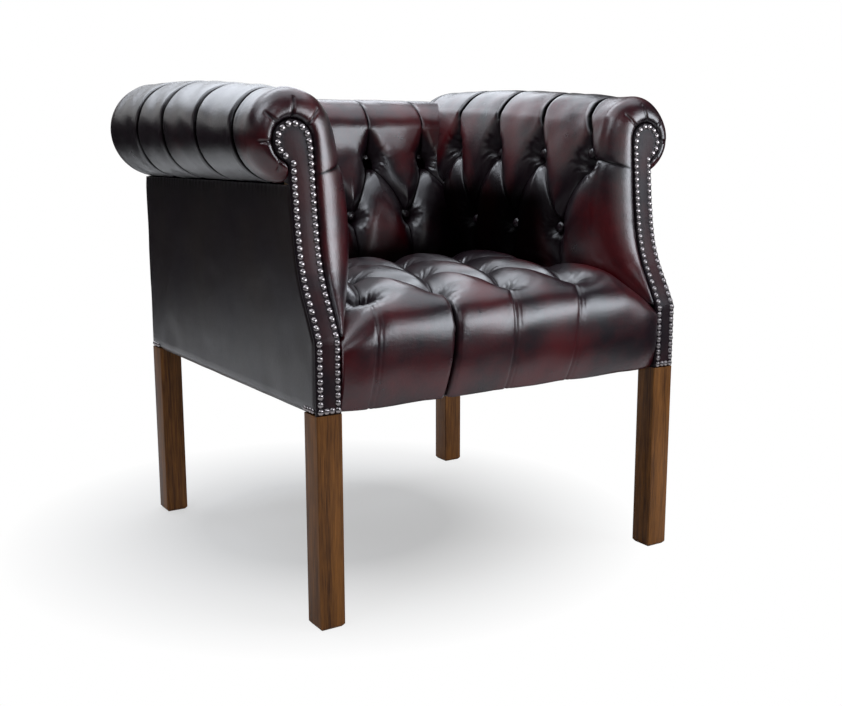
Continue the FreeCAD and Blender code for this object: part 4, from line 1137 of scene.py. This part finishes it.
def make_back_panel(leather):
    """Outer back panel: a flat sheet of leather with a rolled edge, gathered under the roll."""
    levels = np.concatenate([np.linspace(PANEL_FOOT, PANEL_BEND, 24),
                             np.linspace(PANEL_BEND + 4, ROLL_UNDER + 0.6, 24)])
    z, x = np.meshgrid(levels, np.linspace(-BACK_PANEL_HALF, BACK_PANEL_HALF, 150),
                       indexing="ij")
    grown, ripple = seam_gathers(x, z, *REAR_GATHERS)
    edge = np.minimum(z - PANEL_FOOT, BACK_PANEL_HALF - np.abs(x))
    drop = rolled_edge(edge, *REAR_EDGE) + (1.5 * ripple + 0.8) * grown
    y = DEPTH - drop + soft_waves(x, z, *REAR_WAVES)
    outer = coords(x, np.minimum(y, DEPTH + PANEL_PROUD), z)
    # Painted shade: the colour darkens in the grooves of the gathers
    obj = build_sheet("outer_panel_leather_back", outer, 1, DEPTH - PANEL_THICK,
                      1 - grown * ripple)
    dress(obj, leather, "panel_leather", "outer_panel_back")


def make_leg(name, x_sign, at_rear, wood):
    """Square leg: a rounded square carried up its axis, chamfered at the foot, with the
    reduced top that sits in the frame."""
    half = LEG_SIDE / 2
    x0 = x_sign * (HALF_WIDTH - half)
    y0 = DEPTH - half if at_rear else half
    quarter = np.arange(4)[:, None] * np.pi / 2
    turn = np.radians(np.linspace(0, 90, 5)) + quarter
    corner_x, corner_y = np.sign(np.cos(np.pi / 4 + quarter)), np.sign(np.sin(np.pi / 4 + quarter))
    rings = []
    for z, shrink, radius in LEG_RINGS:
        reach = half - shrink - radius
        rings.append(coords(x0 + reach * corner_x + radius * np.cos(turn),
                            y0 + reach * corner_y + radius * np.sin(turn), z).reshape(-1, 3))
    points = np.stack(rings)
    count, around = points.shape[:2]
    caps = [np.arange(around)[::-1], (count - 1) * around + np.arange(around)]
    obj = build_object(name + "_wood", points, grid_faces(count, around, wrap_cols=True), caps)
    obj.data.set_sharp_from_angle(angle=np.radians(35))
    dress(obj, wood, "leg_wood", name)


# Materials

class Nodes:
    """Short hand for building a node tree. A node given as a value stands for its first
    output, and a plain value sets the socket itself."""

    def __init__(self, owner):
        owner.use_nodes = True
        self.tree = owner.node_tree
        self.tree.nodes.clear()

    def add(self, kind, *values, **named):
        """New node: the values go to its inputs in order, and each named one to the input or
        else the setting of that name."""
        node = self.tree.nodes.new(kind)
        for socket, value in zip(node.inputs, values):
            self.put(socket, value)
        for key, value in named.items():
            socket = key.replace("_", " ")
            if socket in node.inputs:
                self.put(node.inputs[socket], value)
            else:
                setattr(node, key, value)
        return node

    def put(self, socket, value):
        """Links a node or a socket to an input, or sets the input's own value."""
        if isinstance(value, bpy.types.Node):
            value = value.outputs[0]
        if isinstance(value, bpy.types.NodeSocket):
            self.tree.links.new(value, socket)
        else:
            socket.default_value = value

    def place(self):
        """Place on the object."""
        return self.add("ShaderNodeTexCoord").outputs["Object"]

    def carried(self, name):
        """Value that the piece carries at each point."""
        return self.add("ShaderNodeAttribute", attribute_name=name).outputs["Fac"]

    def math(self, operation, a, b, clamp=False):
        """Sum, product or the like of two values."""
        return self.add("ShaderNodeMath", a, b, operation=operation, use_clamp=clamp)

    def swing(self, value, size):
        """A noise about zero: size times (value - 1/2)."""
        return self.math("MULTIPLY", self.math("SUBTRACT", value, 0.5), size)

    def mix(self, factor, a, b):
        """Colour a at factor 0, b at factor 1."""
        node = self.tree.nodes.new("ShaderNodeMix")
        node.data_type = "RGBA"
        for index, value in ((0, factor), (6, a), (7, b)):
            self.put(node.inputs[index], value)
        return node.outputs[2]

    def noise(self, place, scale, detail, rough):
        """Cloudy noise from 0 to 1."""
        return self.add("ShaderNodeTexNoise", Vector=place, Scale=scale, Detail=detail,
                        Roughness=rough)

    def ramp(self, value, low, low_color, high, high_color):
        """Colour that runs from one to another between two values."""
        node = self.add("ShaderNodeValToRGB", value)
        for stop, at, color in zip(node.color_ramp.elements, (low, high),
                                   (low_color, high_color)):
            stop.position = at
            stop.color = (*color, 1)
        return node

    def finish(self, **named):
        """Principled surface to the material's output."""
        shader = self.add("ShaderNodeBsdfPrincipled", **named)
        self.add("ShaderNodeOutputMaterial", shader)


def leather_material(name, bright, dark, rough, specular=0.22, wax=1.0):
    """Rub-off leather: dark in the folds, brighter on the crowns, the folds darkened partly by
    rub-off and partly as painted shade, with clouded patches, a fine pebbled grain and a waxed
    gloss that is uneven from patch to patch. Where the piece carries painted shade, the wax and
    the gloss go and the leather darkens to near black."""
    material = bpy.data.materials.new(name)
    n = Nodes(material)
    place = n.place()
    patch = n.noise(place, 26.0, 4.0, 0.6)
    share = n.carried("crown")
    for spots, size in ((n.noise(place, 9.0, 3.0, 0.5), 1.9), (patch, 0.6),
                        (n.noise(place, 140.0, 3.0, 0.6), 0.25)):
        share = n.math("ADD", share, n.swing(spots, size))
    share = n.math("SUBTRACT", share, 0.62)
    color = n.ramp(share, 0.0, dark, 0.9, bright)
    color.color_ramp.interpolation = "EASE"
    cells = n.add("ShaderNodeTexVoronoi", feature="DISTANCE_TO_EDGE", Vector=place, Scale=850.0)
    pebbles = n.math("MINIMUM", cells.outputs["Distance"], 0.25)
    grain = n.add("ShaderNodeBump", Height=pebbles, Strength=0.32, Distance=0.0004)
    normal = n.add("ShaderNodeBump", Height=n.noise(place, 240.0, 3.0, 0.6), Strength=0.17,
                   Distance=0.0012, Normal=grain)
    # Painted shade: where a piece carries it, the leather turns near black and loses its coat and
    # gloss
    painted_shade = n.carried("painted_shade")
    unshaded = n.math("SUBTRACT", 1.0, painted_shade)
    n.finish(Base_Color=n.mix(painted_shade, color, PAINTED_SHADE_COLOR), Normal=normal,
             Roughness=n.math("ADD", n.swing(patch, 0.2), rough),
             Specular_IOR_Level=n.math("MULTIPLY", unshaded, specular),
             Coat_Weight=n.math("MULTIPLY", unshaded, wax), Coat_Roughness=0.25, Coat_IOR=1.68,
             Coat_Normal=normal)
    return material


def nail_material():
    """Antique nail: pewter-bronze, stained unevenly, and rougher where it is paler."""
    material = bpy.data.materials.new("antique_nail")
    n = Nodes(material)
    stain = n.noise(n.place(), 240.0, 3.0, 0.6)
    n.finish(Base_Color=n.mix(stain, (0.30, 0.26, 0.26, 1), (0.72, 0.66, 0.66, 1)),
             Roughness=n.math("ADD", n.math("MULTIPLY", stain, 0.14), 0.22), Metallic=1.0)
    return material


def wood_material(name, light, dark, rough):
    """Stained open-grained hardwood: long fine pores along the grain under a thin lacquer."""
    material = bpy.data.materials.new(name)
    n = Nodes(material)
    stretched = n.add("ShaderNodeMapping", Vector=n.place(), Scale=(1.0, 1.0, 0.045))
    grain = n.noise(stretched, 420.0, 4.0, 0.65)
    figure = n.noise(stretched, 60.0, 3.0, 0.5)
    share = n.math("ADD", n.math("MULTIPLY", grain, 0.6), n.math("MULTIPLY", figure, 0.5))
    n.finish(Base_Color=n.ramp(share, 0.40, dark, 0.68, light),
             Roughness=n.math("ADD", n.math("MULTIPLY", figure, 0.12), rough),
             Normal=n.add("ShaderNodeBump", Height=grain, Strength=0.25, Distance=0.0004),
             Specular_IOR_Level=0.3)
    return material


def cloth_material(name, color, scale):
    """Plain woven cloth: two crossed sets of threads."""
    material = bpy.data.materials.new(name)
    n = Nodes(material)
    place = n.place()
    across, along = (n.add("ShaderNodeTexWave", Vector=place, Scale=scale,
                           bands_direction=way).outputs["Fac"] for way in ("X", "Y"))
    weave = n.math("MULTIPLY", across, along)
    shade = n.mix(weave, (*(0.7 * c for c in color), 1), (*color, 1))
    n.finish(Base_Color=shade, Roughness=0.9,
             Normal=n.add("ShaderNodeBump", Height=weave, Strength=0.3, Distance=0.0006))
    return material


# Settings

class ArmchairFinish(bpy.types.PropertyGroup):
    """Colours of the leather, the nails and the legs"""

    # Crown red is the colour where rub-off brightens the crowns; fold brown is the colour of the
    # folds, darkened partly by rub-off and partly as painted shade
    crown_red: FloatVectorProperty(
        name="Crown red", description="Leather where it is rubbed bright",
        subtype="COLOR", size=3, default=(0.082, 0.0020, 0.0046), min=0, max=1)
    fold_brown: FloatVectorProperty(
        name="Fold brown", description="Leather in the folds",
        subtype="COLOR", size=3, default=(0.0092, 0.0032, 0.0064), min=0, max=1)
    panel_brown: FloatVectorProperty(
        name="Panel brown", description="Leather of the outer panels",
        subtype="COLOR", size=3, default=(0.016, 0.0085, 0.0075), min=0, max=1)
    leg_light: FloatVectorProperty(
        name="Leg light", description="Light grain of the legs",
        subtype="COLOR", size=3, default=(0.26, 0.098, 0.018), min=0, max=1)
    leg_dark: FloatVectorProperty(
        name="Leg dark", description="Dark grain of the legs",
        subtype="COLOR", size=3, default=(0.060, 0.020, 0.004), min=0, max=1)
    gloss: FloatProperty(
        name="Leather roughness", description="Roughness of the cover leather",
        subtype="FACTOR", default=0.31, min=0.05, max=1.0)


class ArmchairStudio(bpy.types.PropertyGroup):
    """Light and camera"""

    sky: FloatProperty(
        name="Ambient light", description="Strength of the even light",
        default=0.20, min=0.0, max=2.0)
    softbox: FloatProperty(
        name="Softbox", description="Power that the lamps share",
        subtype="POWER", unit="POWER", default=36.0, min=0.0)
    camera_place: FloatVectorProperty(
        name="Camera place", description="Camera position",
        subtype="XYZ", unit="LENGTH", size=3, default=(-1.01103, LEG_FRONT - 1.33037, 0.68187))
    camera_yaw: FloatProperty(
        name="Camera yaw", description="Turn from +Y towards +X",
        subtype="ANGLE", unit="ROTATION", default=0.565418)
    camera_pitch: FloatProperty(
        name="Camera pitch", description="Tilt below the horizon",
        subtype="ANGLE", unit="ROTATION", default=0.183815)
    camera_roll: FloatProperty(
        name="Camera roll", description="Turn about the line of sight",
        subtype="ANGLE", unit="ROTATION", default=-0.00241)
    lens: FloatProperty(
        name="Lens", description="Focal length", unit="CAMERA", default=47.413)


materials = {}


def shared(name, maker):
    """Material made once and shared by the pieces that use it."""
    if name not in materials:
        materials[name] = maker()
    return materials[name]


def cover_leather():
    """Leather of the tufted covers."""
    finish = bpy.context.scene.armchair_finish
    return shared("cover", lambda: leather_material(
        "oxblood_leather", finish.crown_red, finish.fold_brown, finish.gloss))


def panel_leather():
    """Leather of the outer panels."""
    finish = bpy.context.scene.armchair_finish
    return shared("panel", lambda: leather_material(
        "panel_leather", finish.panel_brown, finish.fold_brown, 0.36, specular=0.5, wax=0.7))


def facing_leather():
    """Leather of the scroll facings."""
    finish = bpy.context.scene.armchair_finish
    plum = [0.5 * c + 0.005 for c in finish.crown_red]
    return shared("facing", lambda: leather_material(
        "facing_leather", plum, finish.fold_brown, 0.46, specular=0.3, wax=0.0))


def leg_wood():
    """Wood of the legs."""
    finish = bpy.context.scene.armchair_finish
    return shared("leg", lambda: wood_material(
        "stained_leg_wood", finish.leg_light, finish.leg_dark, 0.34))


# Pieces

class ARMCHAIR_OT_seat(bpy.types.Operator):
    """Make the tufted seat cover"""
    bl_idname = "armchair.seat"
    bl_label = "Seat cover"

    def execute(self, context):
        make_seat(cover_leather())
        return {"FINISHED"}


class ARMCHAIR_OT_back(bpy.types.Operator):
    """Make the tufted back cover"""
    bl_idname = "armchair.back"
    bl_label = "Back cover"

    def execute(self, context):
        make_back(cover_leather())
        return {"FINISHED"}


class ARMCHAIR_OT_arms(bpy.types.Operator):
    """Make both rolled arm covers"""
    bl_idname = "armchair.arms"
    bl_label = "Arm covers"

    def execute(self, context):
        for side, _ in SIDES:
            make_arm(side, cover_leather())
        return {"FINISHED"}


class ARMCHAIR_OT_facings(bpy.types.Operator):
    """Make both scroll facings"""
    bl_idname = "armchair.facings"
    bl_label = "Facings"

    def execute(self, context):
        for side, _ in SIDES:
            make_facing(side, facing_leather())
        return {"FINISHED"}


class ARMCHAIR_OT_buttons(bpy.types.Operator):
    """Make the covered buttons"""
    bl_idname = "armchair.buttons"
    bl_label = "Buttons"

    def execute(self, context):
        make_buttons(cover_leather())
        return {"FINISHED"}


class ARMCHAIR_OT_nails(bpy.types.Operator):
    """Make the upholstery nails"""
    bl_idname = "armchair.nails"
    bl_label = "Nails"

    def execute(self, context):
        for side, sign in SIDES:
            make_nails(side, sign, shared("nail", nail_material))
        return {"FINISHED"}


class ARMCHAIR_OT_panels(bpy.types.Operator):
    """Make the outer side and back panels"""
    bl_idname = "armchair.panels"
    bl_label = "Outer panels"

    def execute(self, context):
        for side, _ in SIDES:
            make_side_panel(side, panel_leather())
        make_back_panel(panel_leather())
        return {"FINISHED"}


class ARMCHAIR_OT_legs(bpy.types.Operator):
    """Make the four legs"""
    bl_idname = "armchair.legs"
    bl_label = "Legs"

    def execute(self, context):
        for end in ("front", "rear"):
            for side, sign in SIDES:
                make_leg(f"leg_{end}_{side}", sign, end == "rear", leg_wood())
        return {"FINISHED"}


class ARMCHAIR_OT_inner(bpy.types.Operator):
    """Finish the timber, webbing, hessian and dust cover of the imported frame"""
    bl_idname = "armchair.inner"
    bl_label = "Inner frame and layers"

    def execute(self, context):
        timber = wood_material("frame_timber", (0.52, 0.36, 0.21), (0.34, 0.22, 0.12), 0.7)
        jute = cloth_material("jute", (0.42, 0.31, 0.19), 220.0)
        black = cloth_material("dust_cloth", (0.02, 0.02, 0.021), 300.0)
        for name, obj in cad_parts.items():
            if "hessian" in name or "webbing" in name:
                chosen = jute
            elif name == "dust_cover":
                chosen = black
            elif name.startswith(("seat_rail", "corner_block", "arm_post", "back_post",
                                  "arm_rail", "back_rail")):
                chosen = timber
            else:
                continue
            for place in obj.material_slots:
                place.material = chosen
        return {"FINISHED"}


class ARMCHAIR_OT_stage(bpy.types.Operator):
    """Make the floor, the lights and the camera"""
    bl_idname = "armchair.stage"
    bl_label = "Stage"

    def execute(self, context):
        studio = context.scene.armchair_studio
        make_floor()
        make_flags()
        make_world(studio.sky)
        for name, place, aim, size, share in LAMPS:
            make_lamp(name, place, aim, size, studio.softbox * share)
        make_camera(studio)
        return {"FINISHED"}


# Stage

def stage_piece(name, points, faces, material):
    """Piece of the stage, from points in metres."""
    mesh = bpy.data.meshes.new(name)
    mesh.from_pydata(points.reshape(-1, 3).tolist(), [], faces)
    mesh.materials.append(material)
    obj = bpy.data.objects.new(name, mesh)
    bpy.context.scene.collection.objects.link(obj)
    return obj


def floor_material():
    """Pale matt floor. The camera sees it lifted towards white, least under the chair and
    wholly a little way off, and gloss sees it turn white far out."""
    material = bpy.data.materials.new("pale_floor")
    n = Nodes(material)
    centre = (-SHADOW_CENTRE[0], -SHADOW_CENTRE[1], 0)
    moved = n.add("ShaderNodeMapping", Vector=n.place(), Location=centre)
    distance = n.add("ShaderNodeVectorMath", moved, operation="LENGTH").outputs["Value"]
    path = n.add("ShaderNodeLightPath").outputs
    mirrored = n.math("MAXIMUM", path["Is Glossy Ray"], path["Is Transmission Ray"])
    near, far = (n.math("DIVIDE", n.math("SUBTRACT", distance, start), width, clamp=True)
                 for start, width in (FLOOR_NEAR, FLOOR_FAR))
    pale = n.math("ADD", n.math("MULTIPLY", near, 1 - FLOOR_LIFT), FLOOR_LIFT)
    seen = n.math("MAXIMUM", n.math("MULTIPLY", pale, path["Is Camera Ray"]),
                  n.math("MULTIPLY", far, mirrored))
    matt = n.add("ShaderNodeBsdfDiffuse", FLOOR_COLOR)
    white = n.add("ShaderNodeEmission", (1, 1, 1, 1), 1.0)
    n.add("ShaderNodeOutputMaterial", n.add("ShaderNodeMixShader", seen, matt, white))
    return material


def make_floor():
    """Round pale floor: rings round a flat middle."""
    turn = np.radians(np.linspace(0, 360, 96, endpoint=False))
    radius = np.array(FLOOR_RINGS)[:, None]
    points = coords(radius * np.cos(turn), radius * np.sin(turn), 0.0)
    faces = grid_faces(len(radius), len(turn), wrap_cols=True).tolist()
    stage_piece("floor", points, faces + [list(range(len(turn)))], floor_material())


def make_flags():
    """Black flags: a dark ring round the chair that only gloss sees, as a photographer stands
    them beside the floor, so that upright surfaces stay dark above the floor's glow. The ring
    dips by a bell of the bearing at the front right, where the seat's front mirrors the window
    over it. FLAG_GAP is the bell's bearing and width."""
    turn = np.radians(np.linspace(0, 360, 64, endpoint=False))
    apart = (np.degrees(turn) - FLAG_GAP[0] + 180) % 360 - 180
    share = 1 - np.exp(-(apart / FLAG_GAP[1]) ** 2)
    high = FLAG_HEIGHT[0] + (FLAG_HEIGHT[1] - FLAG_HEIGHT[0]) * share
    points = coords(FLAG_CENTRE[0] + FLAG_RADIUS * np.cos(turn),
                    FLAG_CENTRE[1] + FLAG_RADIUS * np.sin(turn),
                    np.stack([np.full(len(turn), 0.002), high]))
    material = bpy.data.materials.new("flag_black")
    Nodes(material).finish(Base_Color=(0.006, 0.006, 0.006, 1), Roughness=1.0)
    obj = stage_piece("black_flags", points, grid_faces(2, len(turn), wrap_cols=True).tolist(),
                      material)
    obj.visible_camera = False
    obj.visible_diffuse = False
    obj.visible_shadow = False
    obj.visible_transmission = False


def make_world(sky):
    """Even pale light. The background seen by the camera, by gloss and through glass is white
    up to a low height and dims above it, where the softboxes hang."""
    world = bpy.data.worlds.new("studio")
    bpy.context.scene.world = world
    n = Nodes(world)
    path = n.add("ShaderNodeLightPath").outputs
    mirrored = n.math("MAXIMUM", path["Is Glossy Ray"], path["Is Transmission Ray"])
    seen = n.math("MAXIMUM", path["Is Camera Ray"], mirrored)
    way = n.add("ShaderNodeTexCoord").outputs["Generated"]
    height = n.add("ShaderNodeSeparateXYZ", way).outputs["Z"]
    high = n.add("ShaderNodeMapRange", Value=height, From_Min=DIM_RISE[0],
                 From_Max=DIM_RISE[1], To_Min=1.0, To_Max=DIM_LIGHT)
    strength = n.math("ADD", n.math("MULTIPLY", seen, high),
                      n.math("MULTIPLY", n.math("SUBTRACT", 1.0, seen), sky))
    n.add("ShaderNodeOutputWorld", n.add("ShaderNodeBackground", (1, 1, 1, 1), strength))


def make_lamp(name, place, aim, size, power):
    """Softbox aimed at a point, with its long side level and across the aim."""
    lamp = bpy.data.lights.new(name, "AREA")
    lamp.shape = "RECTANGLE"
    lamp.size, lamp.size_y = size
    lamp.energy = power
    lamp.color = LAMP_COLOR
    obj = bpy.data.objects.new(name, lamp)
    away = (Vector(place) - Vector(aim)).normalized()
    across = Vector((0.0, 0.0, 1.0)).cross(away).normalized()
    turned = Matrix((across, away.cross(across), away)).transposed().to_4x4()
    obj.matrix_world = Matrix.Translation(place) @ turned
    obj.visible_camera = False
    bpy.context.scene.collection.objects.link(obj)


def make_camera(studio):
    """Camera at the measured place, turned by yaw, pitch and roll."""
    yaw, pitch, roll = studio.camera_yaw, studio.camera_pitch, studio.camera_roll
    forward = Vector((np.sin(yaw) * np.cos(pitch), np.cos(yaw) * np.cos(pitch), -np.sin(pitch)))
    level = Vector((np.cos(yaw), -np.sin(yaw), 0.0))
    above = level.cross(forward)
    right = level * np.cos(roll) + above * np.sin(roll)
    up = above * np.cos(roll) - level * np.sin(roll)
    camera = bpy.data.cameras.new("camera")
    camera.lens = studio.lens
    camera.sensor_width = 36.0
    camera.clip_end = 50.0
    obj = bpy.data.objects.new("camera", camera)
    turned = Matrix((right, up, -forward)).transposed().to_4x4()
    obj.matrix_world = Matrix.Translation(studio.camera_place) @ turned
    bpy.context.scene.collection.objects.link(obj)
    bpy.context.scene.camera = obj
    bpy.context.scene.view_settings.view_transform = "Standard"


# Panel and registration

class ARMCHAIR_PT_panel(bpy.types.Panel):
    """Settings and pieces of the armchair"""
    bl_idname = "ARMCHAIR_PT_panel"
    bl_label = "Tub armchair"
    bl_space_type = "VIEW_3D"
    bl_region_type = "UI"
    bl_category = "Armchair"

    def draw(self, context):
        layout = self.layout
        for group in (context.scene.armchair_finish, context.scene.armchair_studio):
            for name in group.__annotations__:
                layout.prop(group, name)
        for operator in OPERATORS:
            layout.operator(operator.bl_idname)


OPERATORS = (ARMCHAIR_OT_stage, ARMCHAIR_OT_legs, ARMCHAIR_OT_inner, ARMCHAIR_OT_panels,
             ARMCHAIR_OT_facings, ARMCHAIR_OT_nails, ARMCHAIR_OT_seat, ARMCHAIR_OT_back,
             ARMCHAIR_OT_arms, ARMCHAIR_OT_buttons)
CLASSES = (ArmchairFinish, ArmchairStudio) + OPERATORS + (ARMCHAIR_PT_panel,)


def register():
    """Registers the classes and the scene's settings."""
    for item in CLASSES:
        bpy.utils.register_class(item)
    bpy.types.Scene.armchair_finish = PointerProperty(type=ArmchairFinish)
    bpy.types.Scene.armchair_studio = PointerProperty(type=ArmchairStudio)


def unregister():
    """Removes the settings and the classes."""
    del bpy.types.Scene.armchair_studio
    del bpy.types.Scene.armchair_finish
    for item in reversed(CLASSES):
        bpy.utils.unregister_class(item)


def main():
    """Makes the whole chair."""
    register()
    for operator in OPERATORS:
        group, name = operator.bl_idname.split(".")
        getattr(getattr(bpy.ops, group), name)()


if __name__ == "__main__":
    main()
